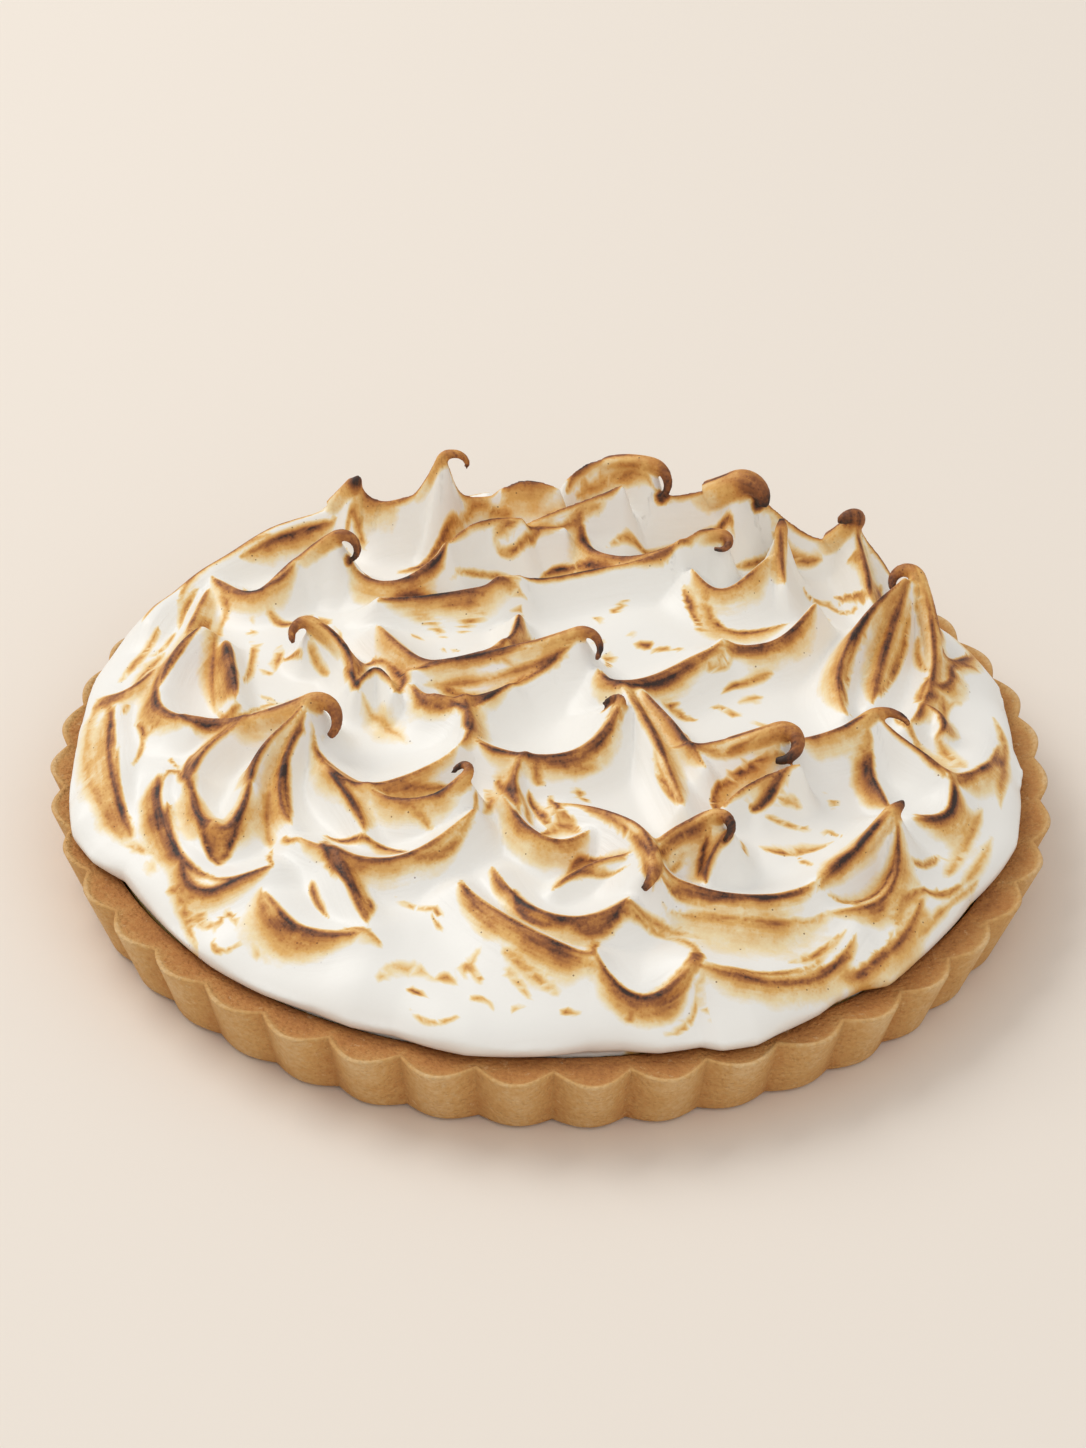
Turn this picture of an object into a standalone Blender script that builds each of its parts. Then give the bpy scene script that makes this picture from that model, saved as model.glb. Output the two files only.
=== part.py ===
"""Lemon meringue pie, 28 cm from front to back: a fluted shortcrust shell, a level lemon filling and a tall
toasted meringue swept up into crests, bowls and curled peaks.

Metres, +Z up. The origin is the middle of the underside, and the pie stands on z = 0. The front is -Y.
The meringue is a dome that carries a table of spatula strokes. Each stroke raises a crest along an arc and
leaves a hollow on either side of it, and the tall ones end in a curled hook. A voxel remesh joins the hooks
to the dome.
"""

import math
from typing import NamedTuple

import bmesh
import bpy
import numpy as np
from mathutils import Matrix, Vector

MM = 0.001

# Crust, mm
RIM_RADIUS = 133.7  # to the notches between the flutes, at the rim
FOOT_RADIUS = 127.2  # to the notches, at the foot
RIM_LOBE = 6.3  # how far a flute stands out at the rim, at the front and the back
FOOT_LOBE = 3.3
SIDE_SHALLOW = 0.5  # how much of a flute's depth is lost at the sides
CRUST_HEIGHT = 21.0
FLUTES = 42
FIRST_NOTCH = -89.02  # angle of a notch, degrees from +X
STEPS_PER_FLUTE = 6
INNER_RADIUS = 126.0  # of the wall's inside, at the rim
INNER_FOOT_RADIUS = 121.0
FLOOR_THICKNESS = 4.5
FOOT_ROUNDING = 1.5
RIM_ROUNDING = 0.8

# Lemon filling, mm
GAP = 0.3  # between one food and the next
FILLING_TOP = 18.0
FILLING_STEPS = 126
CUTTER_RADIUS = 160.0

# Meringue, mm
EDGE_RADIUS = 129.0
DOME_RADIUS = 130.0  # where the skin dome meets the rim
DOME_RISE = 30.0  # of the skin dome above the rim
HOLLOW_DEPTH = 9.0  # of the hollows below the skin dome
SHARPNESS = 5  # of the line where two flanks meet
WOBBLE = 0.35  # of the soft unevenness of the whole surface
LIP = ((0.0, 3.0), (0.8, 1.4), (2.4, -0.4))  # how far the edge draws in, by height above the rim
PLUG_RADIUS = 124.8  # of the meringue that reaches down onto the filling
PLUG_DEPTH = 6.0  # of the uncut plug below the rim
SKIN_RINGS = 90
SKIN_STEPS = 504
VOXEL = 1.8
HOOK_TIP = 1.3  # radius at the end of a hook
LEAST_NECK = 2.2  # radius where it leaves the crest, at least
HOOK_ROOT = 8  # points of the crest that its root follows
HOOK_SINK = 3.0  # how far below the crest the root starts
CREST_POINTS = 17
HOOK_DROP = 0.35  # how far down a hook turns, against how far it turns sideways
HOOK_STEPS = 12
MERINGUE_SHARE = 0.048  # of the remeshed triangles that are kept

# Radius of the meringue's edge by angle in degrees from +X, where it laps over the crust or stops short
EDGE = (
    (-180, 130), (-167, 133), (-163, 134), (-158, 132), (-153, 127), (-146, 127), (-139, 128), (-133, 129),
    (-125, 129), (-118, 128), (-113, 129), (-108, 128), (-103, 130), (-99, 131), (-94, 130), (-90, 129),
    (-85, 127), (-81, 127.5), (-77, 130), (-72, 130), (-70, 133), (-66, 134), (-63, 132), (-57, 130),
    (-54, 128), (-50, 128), (-47, 131), (-41, 129), (-36, 128), (-28, 127), (-24, 128), (-20, 129),
    (-15, 130), (-11, 129), (-4, 128), (0, 129), (4, 127), (9, 127.5), (13, 129), (18, 131),
    (30, 129), (45, 131), (60, 129), (75, 130), (90, 131), (105, 129), (120, 131), (135, 130),
    (150, 129), (165, 131), (175, 129),
)  # fmt: skip


class Stroke(NamedTuple):
    """One spatula stroke. Its crest is an arc through three points (x, y, height above the skin dome), mm."""

    start: tuple
    middle: tuple
    end: tuple
    left: float  # reach of the flank on the left of the stroke's run
    right: float
    hook: tuple = ()  # length, heading in degrees from +X, total curl in degrees, and radius at the root
    thick: float = 0.9  # radius of the crest's top


STROKES = (
    # Front, from left to right
    Stroke((-23, -83, -3), (-6, -101, 0), (12, -109, 2), 12, 14, thick=1.2),
    Stroke((12, -108, 2), (23, -118, 0), (37, -110, 1), 16, 10, (4, 110, 60, 1.5)),
    Stroke((38, -110, 2), (62, -108, 0), (80, -89, 0), 14, 12, thick=1.2),
    Stroke((-14, -78, -4), (1, -97, 0), (21, -92, 2), 14, 10),
    Stroke((1, -83, -5), (11, -75, -3), (21, -75, -1), 6, 6),
    Stroke((2, -51, -4), (20, -62, 1), (27, -84, 6), 10, 16, (9, -115, 70, 2.4)),
    Stroke((27, -80, 1), (48, -86, 0), (70, -78, 0), 14, 14),
    Stroke((70, -78, 0), (80, -66, 4), (90, -54, 8), 14, 8, (5, 50, 20, 2.4), thick=1.6),
    Stroke((74, -84, -2), (89, -74, 1), (91, -55, 8), 8, 12, thick=1.4),
    Stroke((76, -100, -2), (89, -90, -1), (98, -71, 0), 8, 10, thick=1.2),
    Stroke((26, -74, 0), (35, -66, 4), (43, -65, 7), 12, 12, (11, -60, 160, 2.1)),
    Stroke((41, -79, -3), (42, -73, 0), (47, -68, 6), 6, 10),
    # Left front
    Stroke((-105, -30, -2), (-104, -46, 0), (-97, -65, 0), 14, 12, thick=2.2),
    Stroke((-97, -65, 0), (-90, -76, 0), (-73, -74, -1), 14, 12, thick=2.2),
    Stroke((-96, -38, 0), (-94, -50, 0), (-89, -57, 1), 12, 10, thick=1.8),
    Stroke((-89, -57, 1), (-84, -58, 1), (-80, -46, 2), 12, 10, thick=1.8),
    Stroke((-80, -46, 2), (-77, -34, 4), (-66, -22, 7), 8, 10, thick=1.2),
    Stroke((-83, -19, 2), (-93, -27, 0), (-96, -38, 0), 10, 12, thick=1.2),
    Stroke((-100, -11, 0), (-82, -18, 3), (-65, -20, 8), 12, 14, (16, -40, 170, 2.8)),
    Stroke((-68, -57, -3), (-72, -42, 0), (-66, -24, 5), 10, 10),
    Stroke((-49, -61, -4), (-53, -51, -1), (-61, -39, 0), 8, 10),
    Stroke((-64, -25, -1), (-50, -46, -1), (-25, -32, 0), 18, 12, thick=0.7),
    Stroke((-25, -32, 0), (-22, -19, 0), (-32, -9, 0), 18, 10, thick=0.7),
    Stroke((-49, -47, -1), (-36, -54, 0), (-23, -51, 5), 8, 12, (10, 150, 230, 1.8)),
    Stroke((-66, -65, -1), (-42, -76, 0), (-20, -60, 1), 16, 12),
    Stroke((-57, -71, -1), (-52, -83, 0), (-47, -95, -3), 10, 12, thick=1.8),
    Stroke((-74, -81, -3), (-64, -95, 0), (-49, -98, -2), 14, 12, thick=1.2),
    # Left
    Stroke((-98, 33, 2), (-104, 22, 2), (-108, 6, 1), 12, 8, thick=1.8),
    Stroke((-108, 6, 1), (-106, -5, 1), (-97, -14, 0), 14, 10, thick=1.8),
    Stroke((-98, 62, 0), (-100, 48, 0), (-102, 34, 0), 8, 8),
    Stroke((-91, 29, -2), (-89, 15, -1), (-86, -1, -1), 6, 6, thick=1.4),
    Stroke((-126, 18, 0), (-118, 13, 0), (-110, 20, -1), 8, 10, thick=1.2),
    Stroke((-120, 7, 0), (-119, -22, 0), (-111, -50, -2), 8, 8, thick=2.5),
    Stroke((-115, 48, 5), (-98, 74, 8), (-66, 91, 8), 10, 10, thick=2.2),
    Stroke((-97, 68, 1), (-85, 52, 0), (-73, 58, 3), 10, 10),
    Stroke((-80, 53, 1), (-72, 60, 6), (-62, 61, 11), 12, 12, (13, -20, 190, 2.0)),
    # Back, from left to right
    Stroke((-74, 92, 4), (-65, 93, 9), (-58, 90, 15), 10, 10, (4, 170, 20, 2.6)),
    Stroke((-58, 90, 15), (-51, 88, 9), (-44, 89, 7), 10, 10),
    Stroke((-50, 86, 5), (-40, 88, 11), (-33, 86, 22.5), 12, 12, (12, 0, 190, 1.8)),
    Stroke((-32, 84, 20), (-28, 88, 10), (-16, 90, 8), 8, 8),
    Stroke((-16, 90, 8), (-10, 88, 14), (0, 86, 12), 8, 12),
    Stroke((-10, 76, 4), (6, 82, 9), (18, 84, 15), 10, 12),
    Stroke((2, 94, 12), (12, 96, 19), (26, 92, 20), 10, 12, (13, -30, 140, 2.2)),
    Stroke((28, 88, 10), (41, 87, 15), (51, 84, 21), 12, 12, (12, -25, 150, 4.2)),
    Stroke((74, 84, 5), (65, 84, 10), (55, 83, 19), 8, 8),
    Stroke((64, 58, 0), (63, 66, 6), (63, 72, 12), 8, 8, (3, 90, 30, 2.0)),
    Stroke((66, 84, 4), (76, 84, 7), (84, 82, 16), 8, 8, (9, 190, 210, 3.0)),
    Stroke((83, 82, 16), (91, 80, 11), (96, 75, 4), 8, 8),
    Stroke((89, 58, 0), (87, 70, 7), (84, 81, 16), 8, 8),
    Stroke((34, 63, 5), (40, 67, 10), (46, 67, 10), 8, 8, (10, -70, 220, 1.7)),
    Stroke((38, 58, 2), (48, 52, 0), (60, 66, 5), 12, 12),
    # Round the back, from left to right
    Stroke((-92, 82, 3), (-84, 98, 1), (-62, 108, 2), 12, 10, thick=1.5),
    Stroke((-60, 100, 4), (-42, 112, 0), (-20, 108, 3), 12, 12),
    Stroke((-16, 100, 5), (2, 114, 0), (24, 108, 4), 12, 12, thick=1.2),
    Stroke((28, 102, 4), (46, 110, 0), (66, 100, 3), 12, 12),
    Stroke((70, 96, 2), (88, 92, 0), (102, 74, 1), 12, 10, thick=1.5),
    # Middle, behind
    Stroke((-58, 61, 2), (-46, 51, 0), (-31, 60, 5), 12, 10),
    Stroke((-31, 60, 5), (-22, 71, 9), (-10, 73, 8), 8, 10),
    Stroke((-18, 70, 1), (-8, 74, 3), (2, 75, 4), 6, 8),
    Stroke((6, 84, 0), (13, 68, 0), (34, 65, 5), 14, 10),
    Stroke((-16, 48, 2), (8, 57, 0), (34, 64, 5), 12, 10),
    Stroke((-49, 42, 0), (-28, 45, 0), (-10, 49, 1), 12, 10),
    Stroke((-49, 30, -1), (-34, 9, 0), (-14, 18, 0), 16, 12, thick=0.7),
    Stroke((-14, 18, 0), (-11, 25, 0), (-10, 35, -1), 10, 6),
    Stroke((-55, 0, 0), (-57, 13, 2), (-66, 22, 5), 8, 10, (11, -160, 170, 2.2)),
    Stroke((-53, -3, 1), (-48, 4, 1), (-43, -6, 1), 6, 8),
    # Middle
    Stroke((-39, 4, 0), (-17, 11, 2), (6, 13, 8), 12, 16, (13, -45, 150, 1.9)),
    Stroke((12, 6, 0), (22, 1, 0), (46, 21, 0), 14, 12, thick=1.6),
    Stroke((46, 21, 0), (60, 25, 0), (72, 41, 4), 10, 12),
    Stroke((-39, -2, 0), (-28, -10, 0), (-12, -1, -1), 10, 12, thick=1.6),
    Stroke((-24, -9, 0), (-23, -17, 0), (-23, -26, 0), 8, 8, thick=1.2),
    Stroke((-20, -29, 0), (4, -34, 0), (18, -14, 3), 18, 12, (9, 135, 170, 1.6)),
    Stroke((-20, -12, -1), (-8, 3, -2), (8, 12, 0), 10, 14),
    Stroke((19, -3, 0), (27, -24, 0), (35, -50, -3), 10, 10, thick=1.2),
    Stroke((24, -3, 0), (31, -16, 0), (41, -34, -2), 8, 10, thick=1.2),
    Stroke((-13, -48, -3), (-2, -68, 0), (10, -62, -3), 10, 8),
    Stroke((-7, -34, -1), (-10, -42, -2), (-8, -52, -3), 6, 6),
    # Middle, right
    Stroke((32, -27, -2), (46, -27, 2), (60, -27, 7), 12, 12, (17, -65, 220, 2.8)),
    Stroke((46, -50, -3), (54, -42, 1), (66, -38, 4), 5, 7),
    Stroke((55, -47, -5), (60, -41, -1), (65, -37, 2), 4, 8),
    Stroke((65, -24, 1), (75, -20, 3), (85, -13, 5), 14, 18, (13, -75, 110, 2.0)),
    Stroke((86, -12, 5), (97, -19, 3), (107, -26, 0), 10, 12),
    Stroke((107, -25, 0), (117, -15, 0), (122, 4, 0), 12, 6),
    Stroke((86, -17, -4), (86, -29, -3), (90, -42, -2), 8, 6),
    Stroke((107, -26, 0), (106, -38, 0), (96, -44, -1), 10, 12),
    Stroke((101, 10, -3), (106, 6, -1), (106, -1, -2), 5, 5),
    # Right
    Stroke((80, -3, -3), (80, 22, 2), (97, 51, 14), 12, 8),
    Stroke((87, 5, -4), (92, 32, 1), (99, 53, 14), 8, 8, thick=2.4),
    Stroke((97, -2, -3), (105, 28, 0), (101, 55, 14), 8, 8, (13, 185, 200, 2.6)),
    Stroke((105, 57, -1), (110, 38, -2), (121, 60, -1), 8, 6),
    Stroke((110, 34, -2), (110, 26, -2), (105, 22, -3), 5, 5),
)


def crest_points(stroke):
    """Points along a stroke's crest, by the parabola through its three points."""
    share = np.linspace(0.0, 1.0, CREST_POINTS)[:, None]
    start, middle, end = (np.array(point, float) for point in stroke[:3])
    first, second, third = 2 * (share - 0.5) * (share - 1), 4 * share * (1 - share), 2 * share * (share - 0.5)
    return start * first + middle * second + end * third


def edge_reach(x, y):
    """Distance from the middle, stretched so that the wavy edge of the meringue is at EDGE_RADIUS."""
    angles, radii = zip(*EDGE)
    edge = np.interp(np.degrees(np.arctan2(y, x)), angles, radii, period=360)
    return np.hypot(x, y) * EDGE_RADIUS / edge


def skin_height(x, y):
    """Height of the skin dome above the rim. Past its edge it falls away steeply."""
    reach = edge_reach(x, y) / DOME_RADIUS
    inside = DOME_RISE * np.sqrt(np.clip(1 - reach**3, 0, None))
    return inside - 6 * DOME_RADIUS * np.clip(reach - 1, 0, None)


def meringue_height(x, y):
    """Height of the swept meringue above the rim, for a lattice of x and y."""
    reach = np.clip(edge_reach(x, y) / DOME_RADIUS, 0, 1)
    hollow = HOLLOW_DEPTH * (1 - reach**6)
    total = np.zeros_like(x)
    for stroke in STROKES:
        points = crest_points(stroke)
        margin = max(stroke.left, stroke.right)
        low = points.min(axis=0) - margin
        high = points.max(axis=0) + margin
        near = (x > low[0]) & (x < high[0]) & (y > low[1]) & (y < high[1])
        if not near.any():
            continue
        place = np.stack([x[near], y[near]], axis=-1)
        nearest = np.full(len(place), np.inf)
        side, top, share = (np.zeros(len(place)) for _ in range(3))
        for step, (first, second) in enumerate(zip(points[:-1], points[1:])):
            run = second - first
            along = np.clip((place - first[:2]) @ run[:2] / (run[:2] @ run[:2]), 0, 1)
            offset = place - (first[:2] + along[:, None] * run[:2])
            distance = np.hypot(offset[:, 0], offset[:, 1])
            closer = distance < nearest
            nearest[closer] = distance[closer]
            turn = (run[0] * offset[:, 1] - run[1] * offset[:, 0]) / np.hypot(run[0], run[1])
            side[closer] = (turn / np.maximum(distance, 1e-6))[closer]
            top[closer] = (first[2] + along * run[2])[closer]
            share[closer] = (step + along[closer]) / (CREST_POINTS - 1)
        neck = stroke.hook[3] if stroke.hook else stroke.thick
        thick = stroke.thick + (neck - stroke.thick) * np.clip(4 * share - 3, 0, 1)
        rounded = np.hypot(nearest, thick) - thick
        flank = stroke.right + (stroke.left - stroke.right) * (0.5 + 0.5 * side)
        fall = np.clip(1 - rounded / flank, 0, 1) ** 2
        rise = np.clip(top + hollow[near], 0, None) * fall
        total[near] += rise**SHARPNESS
    wobble = np.sin(x / 7.1 + 2 * np.sin(y / 9.3)) + np.sin(y / 6.3 + 2 * np.sin(x / 11.7 + 1))
    swept = total ** (1 / SHARPNESS) * (1 - reach**14)
    return skin_height(x, y) - hollow + swept + WOBBLE * wobble * (1 + 2 * reach**8)


def hook_curve(stroke):
    """Centre line of the curled hook at the end of a stroke, in mm from the rim, and its radii in mm."""
    length, heading, curl, neck = stroke.hook
    neck = max(neck, LEAST_NECK)
    crest = crest_points(stroke)[-HOOK_ROOT:]
    crest[:, 2] += skin_height(crest[:, 0], crest[:, 1])
    crest[:, 2] -= np.linspace(HOOK_SINK, neck / 2, HOOK_ROOT)
    points = [Vector(point) for point in crest]
    radii = [neck] * HOOK_ROOT
    run = (points[-1] - points[-3]).normalized()
    heading = math.radians(heading)
    axis = run.cross(Vector((math.cos(heading), math.sin(heading), -HOOK_DROP))).normalized()
    for step in range(1, HOOK_STEPS + 1):
        share = step / HOOK_STEPS
        points.append(points[-1] + run * length / HOOK_STEPS)
        radii.append(neck + (HOOK_TIP - neck) * share)
        run = Matrix.Rotation(math.radians(curl) / HOOK_STEPS, 3, axis) @ run
    return points, radii


def hook_mesh(stroke):
    """The hook as a closed tapering tube."""
    points, radii = hook_curve(stroke)
    curve = bpy.data.curves.new("hook", "CURVE")
    curve.dimensions = "3D"
    curve.bevel_depth = MM
    curve.bevel_resolution = 2
    curve.use_fill_caps = True
    line = curve.splines.new("POLY")
    line.points.add(len(points) - 1)
    for knot, point, radius in zip(line.points, points, radii):
        knot.co = (MM * point.x, MM * point.y, MM * point.z, 1)
        knot.radius = radius
    tube = bpy.data.objects.new("hook", curve)
    mesh = bpy.data.meshes.new_from_object(tube)
    bpy.data.objects.remove(tube)
    return mesh


def swept_skin(shape):
    """Adds the swept dome to a bmesh: a grid wrapped round the pie, and closed by a plug below the rim."""
    turn = np.linspace(-math.pi, math.pi, SKIN_STEPS + 1)
    edge = np.interp(np.degrees(turn), *zip(*EDGE), period=360)
    spread = np.linspace(0, math.pi / 2, SKIN_RINGS)[:, None]
    x, y = (np.sin(spread) * edge * part(turn) for part in (np.cos, np.sin))
    rows = [np.stack([x, y, meringue_height(x, y)], axis=-1)]
    below = [(edge - inset, height) for inset, height in LIP]
    for radius, height in (*below, (PLUG_RADIUS - 1, -PLUG_DEPTH), (0, -PLUG_DEPTH)):
        ring = np.stack([radius * np.cos(turn), radius * np.sin(turn), height + 0 * turn], axis=-1)
        rows.append(ring[None])
    table = MM * np.concatenate(rows)
    last_row, last_column = len(table) - 1, SKIN_STEPS
    made = bmesh.ops.create_grid(shape, x_segments=last_column, y_segments=last_row, size=0.5)
    for corner in made["verts"]:
        row, column = round((corner.co.y + 0.5) * last_row), round((corner.co.x + 0.5) * last_column)
        corner.co = table[row, column]
    bmesh.ops.remove_doubles(shape, verts=made["verts"], dist=0.001 * MM)


def flute_radius(turn, notch_radius, lobe):
    """Outer radius of the crust by the angle from the first notch. The flutes are round outwards and meet in
    sharp notches, and they are shallower at the sides of the pie than at its front and back.
    """
    place = turn * FLUTES / (2 * math.pi) % 1.0
    depth = 1 - SIDE_SHALLOW * (1 - math.cos(2 * turn)) / 2
    swell = depth + 0.08 * math.sin(5 * turn + 2.0) + 0.06 * math.sin(11 * turn)
    return notch_radius + lobe * swell * math.sin(math.pi * place)


def ringed_body(name, rings, steps, collection):
    """A closed body of level rings, each a radius by angle and a height in mm, capped at both ends."""
    shape = bmesh.new()
    bmesh.ops.create_circle(shape, segments=steps, radius=1.0)
    ring, edges = list(shape.verts), list(shape.edges)
    bmesh.ops.contextual_create(shape, geom=edges)
    for index, (radius, height) in enumerate(rings):
        if index:
            made = bmesh.ops.extrude_edge_only(shape, edges=edges)["geom"]
            ring = [item for item in made if isinstance(item, bmesh.types.BMVert)]
            edges = [item for item in made if isinstance(item, bmesh.types.BMEdge)]
        for corner in ring:
            turn = math.atan2(corner.co.y, corner.co.x)
            reach = radius(turn) if callable(radius) else radius
            corner.co = (MM * reach * math.cos(turn), MM * reach * math.sin(turn), MM * height)
    bmesh.ops.contextual_create(shape, geom=edges)
    bmesh.ops.recalc_face_normals(shape, faces=shape.faces)
    mesh = bpy.data.meshes.new(name)
    shape.to_mesh(mesh)
    shape.free()
    made = bpy.data.objects.new(name, mesh)
    collection.objects.link(made)
    return made


def food_material(name, colour, roughness):
    """A plain material of one colour."""
    material = bpy.data.materials.new(name)
    material.use_nodes = True
    shader = material.node_tree.nodes["Principled BSDF"]
    shader.inputs["Base Color"].default_value = (*colour, 1.0)
    shader.inputs["Roughness"].default_value = roughness
    return material


def cut(body, cutter):
    """Cuts a hidden body out of another."""
    boolean = body.modifiers.new("cut_" + cutter.name, "BOOLEAN")
    boolean.operation = "DIFFERENCE"
    boolean.solver = "EXACT"
    boolean.object = cutter
    cutter.hide_render = True
    cutter.display_type = "WIRE"


def make_crust(parts):
    """The shell: a flaring fluted wall with a flat rim, round a flat floor."""
    steps = FLUTES * STEPS_PER_FLUTE

    def outer(share, inset=0.0):
        notch = FOOT_RADIUS + (RIM_RADIUS - FOOT_RADIUS) * share - inset
        lobe = FOOT_LOBE + (RIM_LOBE - FOOT_LOBE) * share
        return lambda turn: flute_radius(turn, notch, lobe)

    rings = (
        (outer(0.0, FOOT_ROUNDING), 0.0),
        (outer(FOOT_ROUNDING / CRUST_HEIGHT), FOOT_ROUNDING),
        (outer(0.5), CRUST_HEIGHT / 2),
        (outer(1.0), CRUST_HEIGHT - RIM_ROUNDING),
        (outer(1.0, RIM_ROUNDING), CRUST_HEIGHT),
        (INNER_RADIUS, CRUST_HEIGHT),
        (INNER_FOOT_RADIUS, FLOOR_THICKNESS),
    )
    crust = ringed_body("crust", rings, steps, parts)
    crust.rotation_euler.z = math.radians(FIRST_NOTCH)
    return crust


def make_filling(parts):
    """The lemon filling: a disc that runs right through the pie under the meringue."""
    slope = (INNER_RADIUS - INNER_FOOT_RADIUS) / (CRUST_HEIGHT - FLOOR_THICKNESS)
    foot = INNER_FOOT_RADIUS - 2 * GAP
    rings = ((foot, FLOOR_THICKNESS + GAP), (foot + slope * (FILLING_TOP - FLOOR_THICKNESS), FILLING_TOP))
    return ringed_body("lemon_filling", rings, FILLING_STEPS, parts)


def make_meringue(parts, cutters):
    """The meringue: the swept dome with its hooks, cut to rest just above the filling and the rim."""
    shape = bmesh.new()
    swept_skin(shape)
    for stroke in STROKES:
        if stroke.hook:
            shape.from_mesh(hook_mesh(stroke))
    bmesh.ops.recalc_face_normals(shape, faces=shape.faces)
    mesh = bpy.data.meshes.new("meringue")
    shape.to_mesh(mesh)
    shape.free()
    mesh.transform(Matrix.Translation((0, 0, MM * CRUST_HEIGHT)))
    meringue = bpy.data.objects.new("meringue", mesh)
    parts.objects.link(meringue)
    joined = meringue.modifiers.new("joined", "REMESH")
    joined.mode = "VOXEL"
    joined.voxel_size = VOXEL * MM
    thinner = meringue.modifiers.new("thinner", "DECIMATE")
    thinner.ratio = MERINGUE_SHARE
    rings = (
        (CUTTER_RADIUS, -CUTTER_RADIUS / 4),
        (CUTTER_RADIUS, CRUST_HEIGHT + GAP),
        (PLUG_RADIUS, CRUST_HEIGHT + GAP),
        (PLUG_RADIUS - GAP, FILLING_TOP + GAP),
    )
    cut(meringue, ringed_body("seat_cutter", rings, FILLING_STEPS, cutters))
    return meringue


def main():
    """Clears the scene and builds the three foods."""
    for old in list(bpy.data.objects):
        bpy.data.objects.remove(old)
    parts = bpy.data.collections.new("lemon_meringue_pie")
    cutters = bpy.data.collections.new("cutters")
    cutters.hide_render = True
    for collection in (parts, cutters):
        bpy.context.scene.collection.children.link(collection)
    foods = (
        (make_crust(parts), food_material("baked_crust", (0.62, 0.33, 0.12), 0.8)),
        (make_filling(parts), food_material("lemon_curd", (0.78, 0.66, 0.22), 0.35)),
        (make_meringue(parts, cutters), food_material("toasted_meringue", (0.90, 0.86, 0.78), 0.45)),
    )
    for food, material in foods:
        food.data.materials.append(material)
        for face in food.data.polygons:
            face.use_smooth = True


main()
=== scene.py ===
"""Lemon meringue pie: a fluted shortcrust shell, lemon filling and a tall toasted meringue in swept peaks.

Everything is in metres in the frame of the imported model: +Z up, the front towards -Y, and the pie stands on
z = 0. The classes hold their sizes in millimetres, because that is how a baker's tin is measured, and turn them
into metres as they build.
"""

from __future__ import annotations

import logging
import math
from dataclasses import dataclass
from enum import Enum
from typing import Callable, Iterable, Mapping, Sequence, Union

import bmesh
import bpy
import numpy as np
from mathutils import Matrix, Vector


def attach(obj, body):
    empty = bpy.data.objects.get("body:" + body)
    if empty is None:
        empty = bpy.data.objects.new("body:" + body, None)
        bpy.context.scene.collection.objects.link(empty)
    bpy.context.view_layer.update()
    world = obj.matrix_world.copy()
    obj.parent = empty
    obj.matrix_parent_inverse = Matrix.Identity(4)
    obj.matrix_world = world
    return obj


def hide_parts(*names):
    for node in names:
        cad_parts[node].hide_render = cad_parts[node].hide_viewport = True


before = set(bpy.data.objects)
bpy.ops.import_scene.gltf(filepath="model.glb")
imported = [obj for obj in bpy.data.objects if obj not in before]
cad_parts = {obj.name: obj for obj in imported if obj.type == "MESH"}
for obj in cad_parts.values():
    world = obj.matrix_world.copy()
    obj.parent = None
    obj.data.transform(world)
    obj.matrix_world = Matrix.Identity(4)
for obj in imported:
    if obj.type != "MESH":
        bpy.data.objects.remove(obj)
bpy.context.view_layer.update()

MM = 0.001
log = logging.getLogger("lemon_meringue_pie")

Colour = tuple[float, float, float]
Point = tuple[float, float, float]
Array = np.ndarray
Value = Union["Signal", float, Sequence[float]]


# ---------------------------------------------------------------- shader building


class Signal:
    """The value that comes out of a node, which arithmetic turns into further Math nodes."""

    def __init__(self, kit: "MaterialKit", socket: bpy.types.NodeSocket) -> None:
        """Wraps a socket.

        Args:
            kit: the material that the socket belongs to.
            socket: the output socket.
        """
        self.kit = kit
        self.socket = socket

    def _with(self, operation: str, *values: Value) -> "Signal":
        """Adds a Math node over these values."""
        return self.kit.node("ShaderNodeMath", {"operation": operation}, dict(enumerate(values)))

    def __add__(self, other: Value) -> "Signal":
        """Adds."""
        return self._with("ADD", self, other)

    def __radd__(self, other: Value) -> "Signal":
        """Adds to a number on the left."""
        return self._with("ADD", other, self)

    def __sub__(self, other: Value) -> "Signal":
        """Subtracts."""
        return self._with("SUBTRACT", self, other)

    def __rsub__(self, other: Value) -> "Signal":
        """Subtracts from a number on the left."""
        return self._with("SUBTRACT", other, self)

    def __mul__(self, other: Value) -> "Signal":
        """Multiplies."""
        return self._with("MULTIPLY", self, other)

    def __rmul__(self, other: Value) -> "Signal":
        """Multiplies a number on the left."""
        return self._with("MULTIPLY", other, self)

    def __pow__(self, other: Value) -> "Signal":
        """Raises to a power."""
        return self._with("POWER", self, other)

    def least(self, other: Value) -> "Signal":
        """The lesser of the two."""
        return self._with("MINIMUM", self, other)

    def most(self, other: Value) -> "Signal":
        """The greater of the two."""
        return self._with("MAXIMUM", self, other)

    def between(self, low: float, high: float) -> "Signal":
        """A smooth step from 0 at one value to 1 at another.

        Args:
            low: the value that gives 0.
            high: the value that gives 1, which may be the smaller of the two.

        Returns:
            The step.
        """
        settings = {"interpolation_type": "SMOOTHSTEP"}
        return self.kit.node("ShaderNodeMapRange", settings, {0: self, 1: low, 2: high, 3: 0.0, 4: 1.0})


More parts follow.
